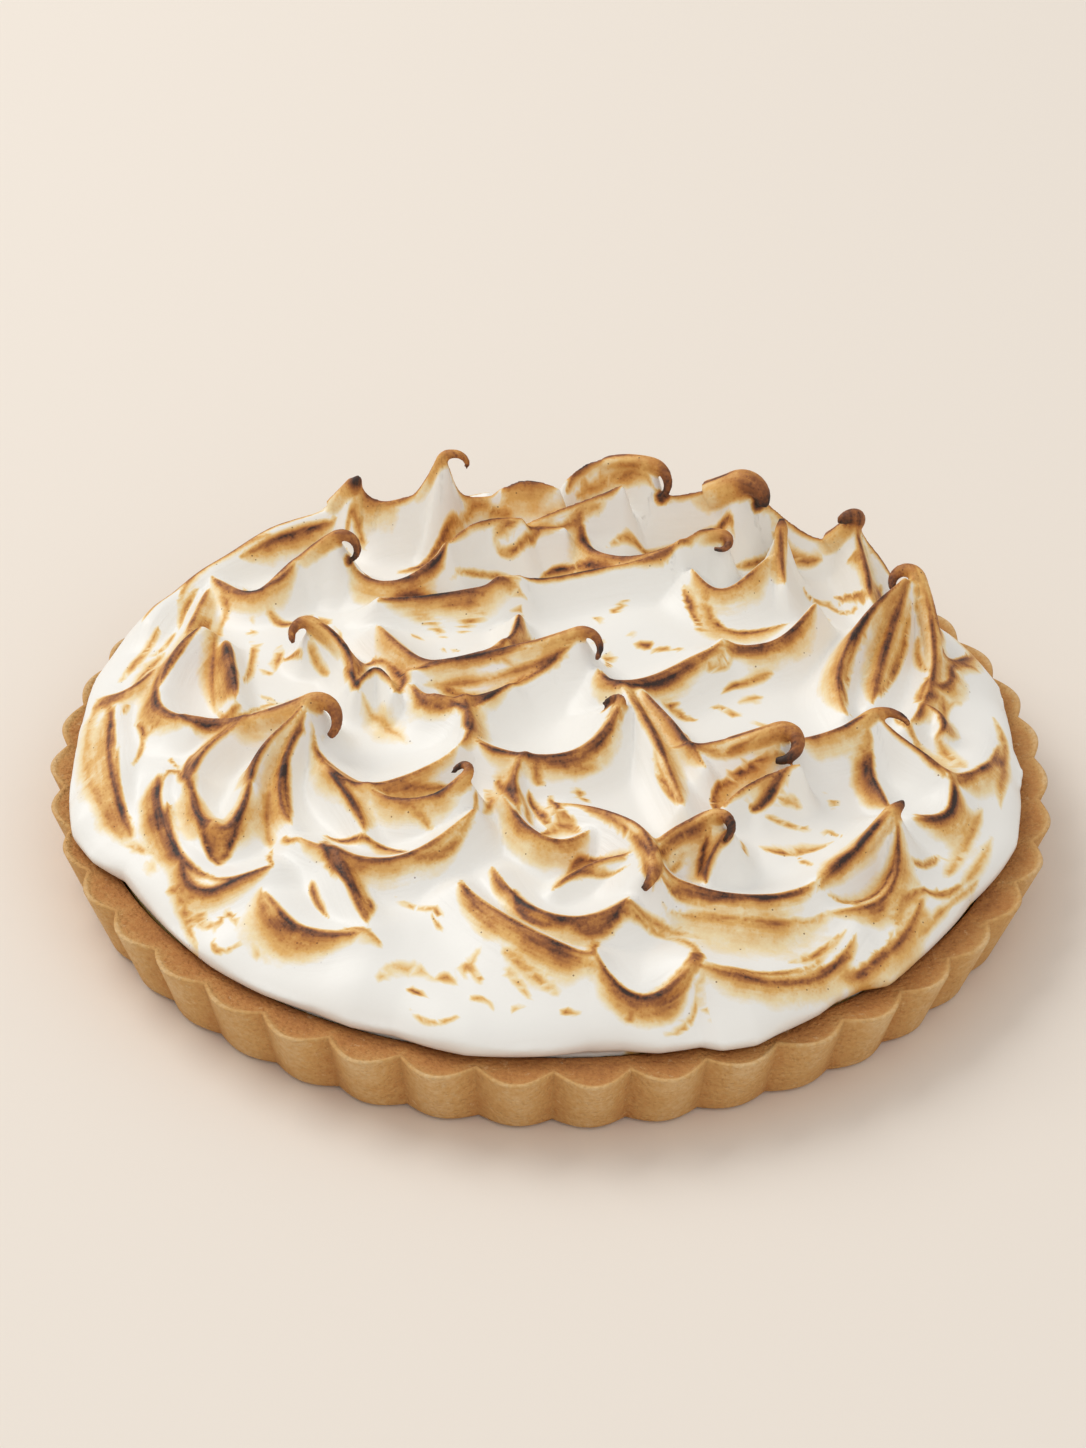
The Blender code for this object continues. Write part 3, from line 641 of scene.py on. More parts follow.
SCORCHES: tuple[Scorch, ...] = (
    # Left front
    Scorch((-128, -10), (-122, -32), (-112, -52), 4, 6, 0.42),
    Scorch((-117, -12), (-116, -32), (-110, -50), 1, 4, 0.50),
    Scorch((-112, -51), (-109, -54), (-106, -57), 1.5, 1.5, 0.48),
    Scorch((-108, -59), (-106, -62), (-104, -66), 2, 1.5, 0.52),
    Scorch((-103, -30), (-105, -46), (-99, -60), 1, 4, 0.75),
    Scorch((-102, -44), (-98, -62), (-88, -72), 1.5, 5, 0.95),
    Scorch((-90, -71), (-82, -75.5), (-72, -74), 1, 3, 0.75),
    Scorch((-104, -34), (-102, -29), (-98, -32), 1, 1, 0.60),
    Scorch((-100, -29), (-97, -38), (-93, -48), 1, 2, 0.80),
    Scorch((-95, -42), (-87, -66), (-79, -42), 8, 1.4, 0.98),
    Scorch((-97, -22), (-98, -34), (-94, -46), 3.5, 1, 0.74),
    Scorch((-79, -46), (-79, -36), (-75, -26), 4, 1.4, 0.66),
    Scorch((-98, -26), (-92, -21), (-82, -19), 1.5, 3, 0.66),
    Scorch((-75, -44), (-75, -54), (-73, -62), 3.5, 3.5, 0.52),
    Scorch((-71, -33), (-70.5, -44), (-68.5, -56), 2, 2.5, 0.92),
    Scorch((-66, -27), (-70, -32), (-71, -40), 0.8, 2, 0.58),
    Scorch((-70, -59), (-69, -63), (-66, -66), 1.5, 2, 0.62),
    Scorch((-73, -62), (-73.5, -69), (-72, -75), 0.9, 0.9, 0.58),
    Scorch((-60, -39), (-54, -50), (-49, -59), 2, 1, 0.62),
    Scorch((-64, -28), (-57, -38), (-46, -47), 1, 1.6, 0.78),
    Scorch((-60, -58), (-53, -61), (-44, -64), 1, 2, 0.88),
    Scorch((-48, -63), (-41, -66), (-37, -73), 1, 6, 0.85),
    Scorch((-38, -74), (-28, -73), (-21, -62), 0.8, 1.3, 0.66),
    Scorch((-22, -64), (-20, -58), (-20, -50), 0.8, 1, 0.55),
    Scorch((-59, -60), (-58, -74), (-47, -89), 7, 1, 0.90),
    Scorch((-47, -84), (-46, -88), (-47, -94), 1, 3, 0.60),
    Scorch((-62, -77), (-61, -83), (-57, -90), 1.7, 1.2, 0.76),
    Scorch((-75, -80), (-70, -92), (-52, -97), 1.2, 9, 0.70),
    Scorch((-54, -96), (-48, -97), (-42, -102), 1, 5, 0.58),
    Scorch((-81, -89), (-84, -84), (-87, -89), 1, 0.9, 0.60),
    Scorch((-87, -89), (-86, -94), (-80, -94), 0.9, 0.9, 0.56),
    Scorch((-80, -94), (-76, -97), (-71, -102), 0.8, 0.8, 0.45),
    Scorch((-91, -79), (-90, -84), (-85, -86), 1.5, 2, 0.55),
    Scorch((-97, -73), (-95, -80), (-91, -91), 1.2, 2.5, 0.52),
    Scorch((-101, -71), (-98, -72), (-95, -73), 1.5, 1.5, 0.50),
    Scorch((-95, -70), (-91, -75), (-85, -78), 2.5, 2.5, 0.46),
    # Front
    Scorch((-46, -48), (-34, -44), (-22, -39), 1, 4, 0.74),
    Scorch((-44, -51), (-34, -54), (-24, -52), 3, 1.5, 0.70),
    Scorch((-30, -52), (-27, -50), (-24, -46), 1, 1.5, 0.62),
    Scorch((-40, -54), (-35, -57), (-31, -61), 1, 1, 0.45),
    Scorch((-18, -39), (-16, -47), (-18, -56), 3, 2, 0.55),
    Scorch((-15, -37), (-11, -46), (-8, -56), 1.5, 2, 0.76),
    Scorch((-9, -54), (-7, -63), (-1, -68), 1, 2, 0.66),
    Scorch((-6, -42), (-4, -50), (1, -58), 2.5, 1.5, 0.90),
    Scorch((0, -43), (2, -52), (8, -59), 1, 2, 0.92),
    Scorch((-9, -44), (-7, -50), (-5, -58), 2.5, 2, 0.54),
    Scorch((-3, -60), (3, -57), (9, -62), 1, 3.5, 0.70),
    Scorch((-2, -66), (3, -70), (8, -67), 3, 1, 0.52),
    Scorch((-4, -36), (-4, -39), (-3, -41), 1.6, 1.6, 0.66),
    Scorch((6, -41), (8, -42), (10, -44), 1, 1.6, 0.70),
    Scorch((3, -38), (8, -36), (12, -34), 2, 2, 0.44),
    Scorch((8, -47), (11, -50), (14, -53), 3.5, 3.5, 0.42),
    Scorch((8, -54), (17, -61), (22, -72), 0.9, 1.4, 0.66),
    Scorch((21, -68), (25, -78), (27, -88), 1.8, 2.4, 0.84),
    Scorch((2, -82), (9, -77), (21, -78), 1, 1.2, 0.60),
    Scorch((4, -76), (11, -69), (20, -76), 1, 4.5, 0.72),
    Scorch((-9, -83), (-4, -97), (12, -97), 4.5, 1.2, 0.80),
    Scorch((4, -98), (14, -99), (21, -89), 6, 1.2, 0.94),
    Scorch((14, -98), (22, -94), (33, -97), 1, 2, 0.62),
    Scorch((-23, -80), (-17, -94), (-6, -103), 1, 4, 0.66),
    Scorch((-8, -101), (2, -108), (13, -111), 1, 7, 0.68),
    Scorch((-12, -104), (-6, -110), (4, -118), 2.5, 3.5, 0.52),
    Scorch((-15, -74), (-13, -82), (-8, -87), 1, 2.5, 0.66),
    Scorch((13, -110), (24, -118), (37, -111), 1, 3.5, 0.90),
    Scorch((16, -118), (26, -121), (36, -115), 2, 3, 0.46),
    Scorch((13, -100), (12, -105), (12, -110), 1, 2.5, 0.80),
    Scorch((38, -111), (33, -116), (26, -120), 1, 1, 0.52),
    Scorch((38.5, -112), (37, -120), (30, -125), 1, 1.6, 0.48),
    Scorch((40, -112), (40.5, -117), (43, -123), 0.9, 0.9, 0.48),
    Scorch((-28.5, -92), (-28, -93.5), (-27.5, -95), 0.9, 0.9, 0.90),
    Scorch((-31, -90), (-29, -90), (-27, -90), 0.9, 0.9, 0.60),
    Scorch((-40, -83), (-34, -87), (-28, -88), 1.6, 1.6, 0.46),
    Scorch((-44, -112), (-38, -107), (-30, -110), 3, 4, 0.52),
    Scorch((-35, -113), (-34, -114.5), (-31, -116), 0.9, 1.1, 0.85),
    Scorch((-35, -119), (-28, -124), (-20, -121), 1, 1.2, 0.50),
    Scorch((-20, -119), (-17, -117), (-13, -121), 1, 1.4, 0.54),
    Scorch((-30, -110), (-23, -109), (-17, -101), 2, 2.5, 0.62),
    Scorch((-21, -107), (-18, -110), (-16, -114), 1, 1.6, 0.54),
    Scorch((-12, -108), (-8, -113), (-3, -119), 1.6, 1.6, 0.42),
    Scorch((3, -121), (6, -121.5), (9, -121), 0.9, 0.9, 0.66),
    Scorch((20, -122), (21, -122.5), (23, -122), 0.8, 0.8, 0.54),
    Scorch((-10, -119), (-9, -120), (-7, -121), 0.9, 0.9, 0.54),
    Scorch((28, -85), (48, -87), (69, -80), 3, 1, 0.94),
    Scorch((30, -89), (52, -91), (74, -83), 1, 14, 0.62),
    Scorch((32, -96), (37, -100), (39, -108), 2, 3, 0.60),
    Scorch((18, -93), (28, -93), (40, -97), 2, 4, 0.56),
    Scorch((40, -109), (58, -107), (72, -95), 1, 3.5, 0.66),
    Scorch((62, -101), (70, -95), (78, -87), 1.6, 2.6, 0.64),
    Scorch((64, -105), (72, -99), (80, -93), 1, 1.6, 0.48),
    # Right front
    Scorch((46, -50), (45, -36), (62, -31), 1.2, 6, 0.90),
    Scorch((52, -46.5), (56, -45.5), (61, -39.5), 1.6, 1.6, 0.98),
    Scorch((60, -44), (64, -42.5), (67, -43), 1.3, 1.3, 0.54),
    Scorch((56, -48), (62, -47.5), (70, -48), 1.3, 1.3, 0.54),
    Scorch((70, -48), (74, -49), (78, -52), 0.9, 0.9, 0.46),
    Scorch((73, -34), (76, -38), (74, -41), 1.1, 1.1, 0.54),
    Scorch((55, -59), (64, -59), (75, -53), 4.5, 1.2, 0.64),
    Scorch((56, -59), (62, -60), (68, -58), 1, 1, 0.84),
    Scorch((65, -60), (67, -64), (69, -68), 2, 1, 0.52),
    Scorch((50, -60), (51, -64), (50, -68), 2, 1, 0.54),
    Scorch((28, -60), (36, -55), (46, -53), 1, 5, 0.66),
    Scorch((27, -81), (32, -70), (44, -66), 1, 3, 0.78),
    Scorch((42, -67), (39.5, -72), (41, -79), 2, 1.4, 0.88),
    Scorch((36, -70), (33, -74), (31, -79), 1, 3, 0.54),
    Scorch((70, -80), (79, -68), (91, -54), 1.2, 3, 0.92),
    Scorch((73, -80), (86, -74), (92, -57), 4.5, 1.2, 0.84),
    Scorch((78, -78), (80, -79), (82, -76), 1.6, 1.6, 0.72),
    Scorch((85, -16), (85, -30), (91, -43), 1, 3.5, 0.80),
    Scorch((108, -27), (106, -38), (96, -42), 4, 1, 0.84),
    Scorch((116, -28), (111, -44), (104, -62), 3, 4.5, 0.50),
    Scorch((119, -36), (114, -50), (108, -62), 3, 3, 0.44),
    Scorch((103, -50), (100, -58), (95, -62), 1.6, 2, 0.70),
    Scorch((96, -67), (104, -66), (110, -58), 1, 2, 0.76),
    Scorch((114, -54), (110, -62), (104, -70), 1, 1.8, 0.48),
    Scorch((91, -84), (93, -74), (101, -66), 1, 4.5, 0.60),
    Scorch((98, -80), (102, -73), (106, -68), 2, 2, 0.46),
    Scorch((76, -98), (85, -94), (90, -84), 1, 2, 0.60),
    Scorch((84, -84), (86, -80), (89, -76), 1, 1, 0.44),
    # Left
    Scorch((-96, 46), (-100, 30), (-107, 10), 1, 8, 0.76),
    Scorch((-108, 16), (-108, 0), (-100, -11), 1.2, 5, 0.92),
    Scorch((-102, -9), (-94, -16), (-80, -18.5), 3, 1.4, 0.94),
    Scorch((-108, 34), (-113, 24), (-115, 15), 4, 4, 0.58),
    Scorch((-93, 46), (-94, 22), (-92, 0), 2, 5, 0.60),
    Scorch((-90, 30), (-87.5, 12), (-86, -2), 1.2, 8, 0.86),
    Scorch((-100, -2), (-93, -4), (-85, -3), 2, 7, 0.84),
    Scorch((-92, 1), (-87, -5), (-81, -2), 0.9, 0.9, 0.60),
    Scorch((-85, 46), (-83.5, 28), (-85, 8), 2.5, 1, 0.60),
    Scorch((-77, 33), (-76, 25), (-80, 16), 1.6, 3, 0.68),
    Scorch((-76, 25), (-72, 22), (-69, 18), 1, 1.2, 0.62),
    Scorch((-68, 20), (-65, 16), (-61, 11), 1.6, 1.2, 0.54),
    Scorch((-81, 8), (-78, 5), (-75, 2), 1.2, 1.6, 0.54),
    Scorch((-73, 36), (-69, 46), (-60, 37), 2, 1.4, 0.66),
    Scorch((-60, 38), (-57.5, 22), (-56, 6), 1, 3, 0.66),
    Scorch((-57, 8), (-54, 0), (-53, -4), 1.6, 2, 0.94),
    Scorch((-67, 20), (-61, 19), (-57, 12), 1, 2.5, 0.66),
    Scorch((-71, 37), (-69, 30), (-69, 22), 0.9, 0.9, 0.54),
    Scorch((-84, -6), (-77, 2), (-66, 4), 0.9, 2, 0.50),
    Scorch((-80, -18), (-70, -19.5), (-62, -22), 0.9, 1.4, 0.62),
    Scorch((-125, 16), (-127, -6), (-124, -30), 5, 4, 0.48),
    Scorch((-123, 14), (-120, -2), (-118, -22), 1, 2.5, 0.62),
    Scorch((-127, 15), (-122, 12), (-115, 12), 1, 2.5, 0.64),
    Scorch((-110, 46), (-115, 34), (-121, 22), 2.5, 2.5, 0.68),
    Scorch((-106, 44), (-108, 38), (-112, 33), 2, 2, 0.56),
    Scorch((-114, -2), (-111, -10), (-113, -24), 1.2, 1.2, 0.54),
    Scorch((-111, -10), (-105, -9), (-101, -13), 1, 1.2, 0.54),
    Scorch((-103, -20), (-102, -24), (-100, -28), 1, 1, 0.48),
    Scorch((-116, 8), (-117, 5), (-118, 2), 1.6, 1.6, 0.46),
    # Middle
    Scorch((-46, 14), (-41, 4), (-43, -6), 2.5, 2.5, 0.98),
    Scorch((-53, 2), (-52, 16), (-45, 13), 1, 1.6, 0.78),
    Scorch((-53, -3), (-49, 4), (-45, 1), 1.2, 1.2, 0.70),
    Scorch((-40, 9), (-37, 6), (-33, 7), 1.6, 1.6, 0.84),
    Scorch((-40, 6), (-26, 8.5), (-8, 11), 2.5, 1.5, 0.78),
    Scorch((-36, 1), (-20, 5), (0, 9), 1.5, 2, 0.56),
    Scorch((-8, 14), (0, 17), (10, 14), 1, 0.9, 0.50),
    Scorch((-38, -1), (-34, -11), (-24, -13), 7, 1.2, 0.90),
    Scorch((-33, 3), (-24, 1), (-14, 3), 2, 3.5, 0.70),
    Scorch((-8, 6), (-15, -4), (-22, -13), 1, 8, 0.76),
    Scorch((-25, -11), (-23, -18), (-23, -26), 2, 2, 0.80),
    Scorch((-48, 29), (-38, 12), (-24, 10), 3.5, 1.2, 0.72),
    Scorch((-28, 10), (-18, 11), (-12, 24), 4, 1.4, 0.84),
    Scorch((-12, 22), (-10, 34), (-10, 45), 1.4, 1.6, 0.84),
    Scorch((-14, 15), (-9, 24), (-5, 32), 0.9, 1.2, 0.54),
    Scorch((-5, 33), (2, 35), (9, 40), 1.2, 2, 0.64),
    Scorch((-39, 40), (-33, 37), (-30, 31), 1.2, 1.2, 0.56),
    Scorch((-40, 35), (-38, 33), (-36, 31), 1.8, 1.8, 0.48),
    Scorch((-30, 42), (-24, 43), (-20, 40), 1, 1.6, 0.54),
    Scorch((-26, 35), (-24, 39), (-20, 42), 1, 1.2, 0.48),
    Scorch((-28, 28), (-27, 27), (-26, 26), 1.3, 1.3, 0.56),
    Scorch((-31, 28), (-30.5, 26), (-31, 24), 1, 1, 0.54),
    Scorch((-52, -4), (-46, -10), (-38, -20), 5, 7, 0.46),
    Scorch((-20, -28), (4, -36), (18, -16), 5, 1.3, 0.88),
    Scorch((-20, -29), (-12, -33), (-5, -32), 3, 1.2, 0.86),
    Scorch((21, -2), (26, -18), (31, -34), 1, 2.4, 0.66),
    Scorch((27, -30), (30, -41), (34.5, -50), 1.8, 1, 0.80),
    Scorch((25, -4), (32, -16), (37, -30), 2, 1, 0.50),
    Scorch((13, 5), (24, 0), (46, 20), 2.5, 2, 0.94),
    Scorch((44, 19), (60, 24), (72, 40), 1.8, 1.6, 0.80),
    Scorch((13, 27), (15, 23), (14, 17), 0.9, 0.9, 0.62),
    Scorch((9, 33), (14, 31), (15, 25), 0.9, 0.9, 0.54),
    Scorch((21, 38), (25, 33), (38, 32), 1, 1.8, 0.80),
    Scorch((30, 40), (32, 37), (33, 35), 1, 1, 0.48),
    Scorch((35, 56), (38, 48), (41, 41), 1.8, 1, 0.76),
    Scorch((10, 46), (13, 44), (15, 41), 1.6, 1.6, 0.72),
    Scorch((14, 46), (17, 50), (21, 54), 0.9, 0.9, 0.54),
    # Right
    Scorch((42, 51), (49, 42), (65, 48), 1, 7, 0.80),
    Scorch((73, 62), (72, 52), (72, 42), 2.4, 2, 0.94),
    Scorch((29, 1), (34, -2), (39, -3), 1.2, 2.2, 0.86),
    Scorch((36, -12), (37, -20), (41, -26), 1.8, 1.8, 0.58),
    Scorch((48, 12), (54, 14), (60, 18), 1.8, 2.2, 0.54),
    Scorch((46, 8), (50, 12), (55, 13), 1.2, 1.2, 0.76),
    Scorch((50, 4), (54, 8), (58, 9), 2.4, 2.4, 0.54),
    Scorch((43, 3), (47, 2), (53, -3), 1.8, 1.2, 0.78),
    Scorch((33, 11), (44, 17), (56, 22), 1, 1.8, 0.50),
    Scorch((61, 5), (62.5, 8), (64, 12), 1.2, 1.2, 0.46),
    Scorch((54, -2), (57, -4), (60, -4), 1, 1.2, 0.76),
    Scorch((40, 12), (45, 14), (49, 18), 1.4, 1.4, 0.52),
    Scorch((34, -26), (47, -29.5), (60, -27), 1, 1.4, 0.60),
    Scorch((65, -24), (74, -19), (85, -14), 1, 1.8, 0.64),
    Scorch((80, -3), (86, 1), (93, 4), 0.9, 0.9, 0.50),
    Scorch((93, 4), (96, -2), (100, -6), 1.4, 1.4, 0.80),
    Scorch((98, -5), (103, -16), (107, -27), 6, 1.6, 0.92),
    Scorch((97, -16), (100, -21), (106, -27), 2, 2, 0.86),
    Scorch((96, 50), (84, 30), (80, 6), 1, 1.8, 0.74),
    Scorch((77, 13), (79, 8), (80, 1), 1.2, 1.2, 0.80),
    Scorch((99, 48), (95, 28), (88, 8), 1.2, 8, 0.72),
    Scorch((101, 42), (101, 34), (103, 26), 2, 2.4, 0.60),
    Scorch((104, 24), (101, 17), (100, 11), 2.2, 2, 0.84),
    Scorch((100, 11), (100, 4), (97, -1), 1.6, 0.9, 0.54),
    Scorch((101, 13), (107, 17), (106, 4), 1.6, 2, 0.80),
    Scorch((105, 5), (107, 1), (104, -3), 3.5, 1.6, 0.76),
    Scorch((104, -2), (108, -9), (112, -18), 4, 3.5, 0.58),
    Scorch((106, 14), (110, 17), (113, 20), 1.8, 1.2, 0.54),
    Scorch((118, 41), (112, 37), (109, 26), 1, 1.8, 0.66),
    Scorch((110, 34), (109, 25), (104, 20), 1.8, 1, 0.80),
    Scorch((121, 18), (124, 2), (117, -14), 1.8, 2.6, 0.64),
    Scorch((118, -12), (112, -23), (106, -27), 1, 2.4, 0.70),
    Scorch((124, -5), (122, -15), (121, -26), 1.8, 1.8, 0.46),
    Scorch((106, 80), (113, 62), (118, 48), 5, 4, 0.56),
    Scorch((104, 62), (108, 52), (106, 42), 2, 4.5, 0.66),
    # Back
    Scorch((60, 82), (68, 80), (76, 81), 1.8, 1.8, 0.74),
    Scorch((14, 77), (26, 80), (40, 81), 1, 1.2, 0.60),
    Scorch((30, 80), (44, 81), (50, 77), 1, 2.2, 0.78),
    Scorch((50, 73), (56, 75), (61, 80), 0.9, 1.2, 0.58),
    Scorch((42, 79), (44, 75), (47, 72), 1.6, 1.6, 0.74),
    Scorch((34, 67), (42, 74), (49, 68), 1.2, 1, 0.76),
    Scorch((70, 70), (75, 64), (83, 66), 1, 2, 0.64),
    Scorch((82, 76), (87, 70), (88, 60), 1, 2.6, 0.80),
    Scorch((78, 68), (84, 64), (88, 60), 1, 1.8, 0.74),
    Scorch((92, 74), (91, 64), (90, 56), 1, 1.8, 0.58),
    Scorch((88, 60), (80, 60), (75, 66), 1, 1.6, 0.56),
    Scorch((-46, 71), (-36, 76), (-26, 84), 1, 4.5, 0.76),
    Scorch((-28, 82), (-22, 88), (-12, 84), 1, 1.8, 0.60),
    Scorch((-19, 83), (-17, 82), (-15, 83), 1.2, 1.2, 0.66),
    Scorch((-19, 77), (-17, 78), (-14, 77), 1.2, 1.2, 0.66),
    Scorch((-15, 84), (-12, 80), (-14, 77), 1.2, 1.2, 0.56),
    Scorch((-47, 52), (-37, 53), (-30, 62), 2.4, 1.4, 0.78),
    Scorch((-36, 60), (-28, 70), (-12, 74), 1, 2.4, 0.66),
    Scorch((-30, 54), (-20, 64), (-8, 64), 1.2, 0.9, 0.56),
    Scorch((-9, 65), (-7, 60), (-8, 56), 1.8, 1, 0.54),
    Scorch((-19, 69), (-10, 70), (-4, 76), 1, 1, 0.66),
    Scorch((-5, 66), (4, 69), (18, 62), 1, 6, 0.90),
    Scorch((-10, 51), (2, 56), (16, 60), 3.5, 1.2, 0.86),
    Scorch((7, 79), (9, 74), (12, 70), 1.6, 2.8, 0.84),
    Scorch((-2, 74), (4, 79), (14, 82), 1, 1.2, 0.58),
    Scorch((12, 70), (22, 65), (36, 66), 3, 1.6, 0.60),
    Scorch((28, 69), (31, 66), (36, 67), 1.8, 1.8, 0.74),
    Scorch((18, 61), (28, 62), (38, 65), 1, 1.2, 0.66),
    Scorch((2, 92), (11, 98), (22, 96), 1.6, 2.4, 0.88),
    Scorch((4, 92), (16, 93), (28, 88), 1, 1.4, 0.66),
    Scorch((4, 89), (8, 91), (12, 89), 1, 1, 0.56),
    Scorch((10, 86), (14, 84), (19, 85), 1.8, 1.8, 0.66),
    Scorch((-50, 92), (-44, 90), (-36, 90), 1, 1.8, 0.66),
    Scorch((-6, 106), (-10, 98), (-8, 90), 1, 2, 0.66),
    Scorch((-48, 45), (-38, 49), (-26, 48), 2, 3.5, 0.82),
    Scorch((-26, 47), (-18, 48), (-8, 46), 1, 1.8, 0.66),
    Scorch((-50, 41), (-36, 44), (-20, 45), 1, 1.2, 0.66),
    Scorch((-60, 83), (-58, 86), (-54, 80), 1.2, 1.8, 0.70),
    # Back left
    Scorch((-116, 56), (-104, 82), (-78, 98), 3, 7, 0.62),
    Scorch((-100, 78), (-88, 88), (-68, 92), 2, 3.5, 0.80),
    Scorch((-106, 56), (-99, 73), (-80, 83), 1, 3, 0.68),
    Scorch((-90, 76), (-77, 83), (-63, 89), 1.6, 5, 0.92),
    Scorch((-97, 68), (-86, 52), (-74, 57), 4, 1.6, 0.78),
    Scorch((-72, 70), (-68, 64), (-60, 63), 1.8, 2, 0.66),
    Scorch((-60, 82), (-57, 72), (-59, 63), 1, 3, 0.78),
    Scorch((-54, 68), (-52, 59), (-47, 52), 2.2, 1.2, 0.78),
    Scorch((-100, 66), (-104, 54), (-104, 44), 1, 2.4, 0.64),
    Scorch((-94, 60), (-92, 52), (-94, 44), 1.2, 1.8, 0.56),
    Scorch((-88, 66), (-86, 58), (-82, 50), 1.8, 1.8, 0.50),
    Scorch((-80, 47), (-76, 43), (-72, 44), 2, 2, 0.78),
)


# ---------------------------------------------------------------- mesh helpers


def finished_mesh(made: bpy.types.Object) -> bpy.types.Mesh:
    """The object's mesh with its modifiers applied, as a new mesh."""
    bpy.context.view_layer.update()
    graph = bpy.context.evaluated_depsgraph_get()
    return bpy.data.meshes.new_from_object(made.evaluated_get(graph), depsgraph=graph)


def corners_of(mesh: bpy.types.Mesh) -> Array:
    """A mesh's corner positions in metres."""
    flat = np.empty(len(mesh.vertices) * 3, np.float32)
    mesh.vertices.foreach_get("co", flat)
    return flat.reshape(-1, 3).astype(float)


def carry(mesh: bpy.types.Mesh, name: str, values: Array) -> None:
    """Stores a number or a vector on each corner of a mesh.

    Args:
        mesh: the mesh.
        name: the attribute's name.
        values: one number or one vector for each corner.
    """
    kind, key = ("FLOAT", "value") if values.ndim == 1 else ("FLOAT_VECTOR", "vector")
    attribute = mesh.attributes.new(name, kind, "POINT")
    attribute.data.foreach_set(key, values.astype(np.float32).ravel())


def wrapped_grid(shape: bmesh.types.BMesh, table: Array) -> None:
    """Adds a closed surface to a bmesh from rows of rings, in metres.

    Args:
        shape: the bmesh.
        table: rows of rings of points. Each ring ends on its first point, and the first and last shrink to one.
    """
    last_row, last_column = len(table) - 1, len(table[0]) - 1
    made = bmesh.ops.create_grid(shape, x_segments=last_column, y_segments=last_row, size=0.5)
    for corner in made["verts"]:
        row = round((corner.co.y + 0.5) * last_row)
        corner.co = table[row, round((corner.co.x + 0.5) * last_column)]
    bmesh.ops.remove_doubles(shape, verts=made["verts"], dist=0.00001 * MM)


def mesh_from(shape: bmesh.types.BMesh, name: str) -> bpy.types.Mesh:
    """Turns a bmesh into a smooth mesh with its faces outwards, and frees it."""
    bmesh.ops.recalc_face_normals(shape, faces=shape.faces)
    for face in shape.faces:
        face.smooth = True
    mesh = bpy.data.meshes.new(name)
    shape.to_mesh(mesh)
    shape.free()
    return mesh


def placed(name: str, mesh: bpy.types.Mesh, material: bpy.types.Material) -> bpy.types.Object:
    """Puts a mesh into the scene with its material."""
    mesh.materials.clear()
    mesh.materials.append(material)
    piece = bpy.data.objects.new(name, mesh)
    bpy.context.scene.collection.objects.link(piece)
    return piece


# ---------------------------------------------------------------- the foods


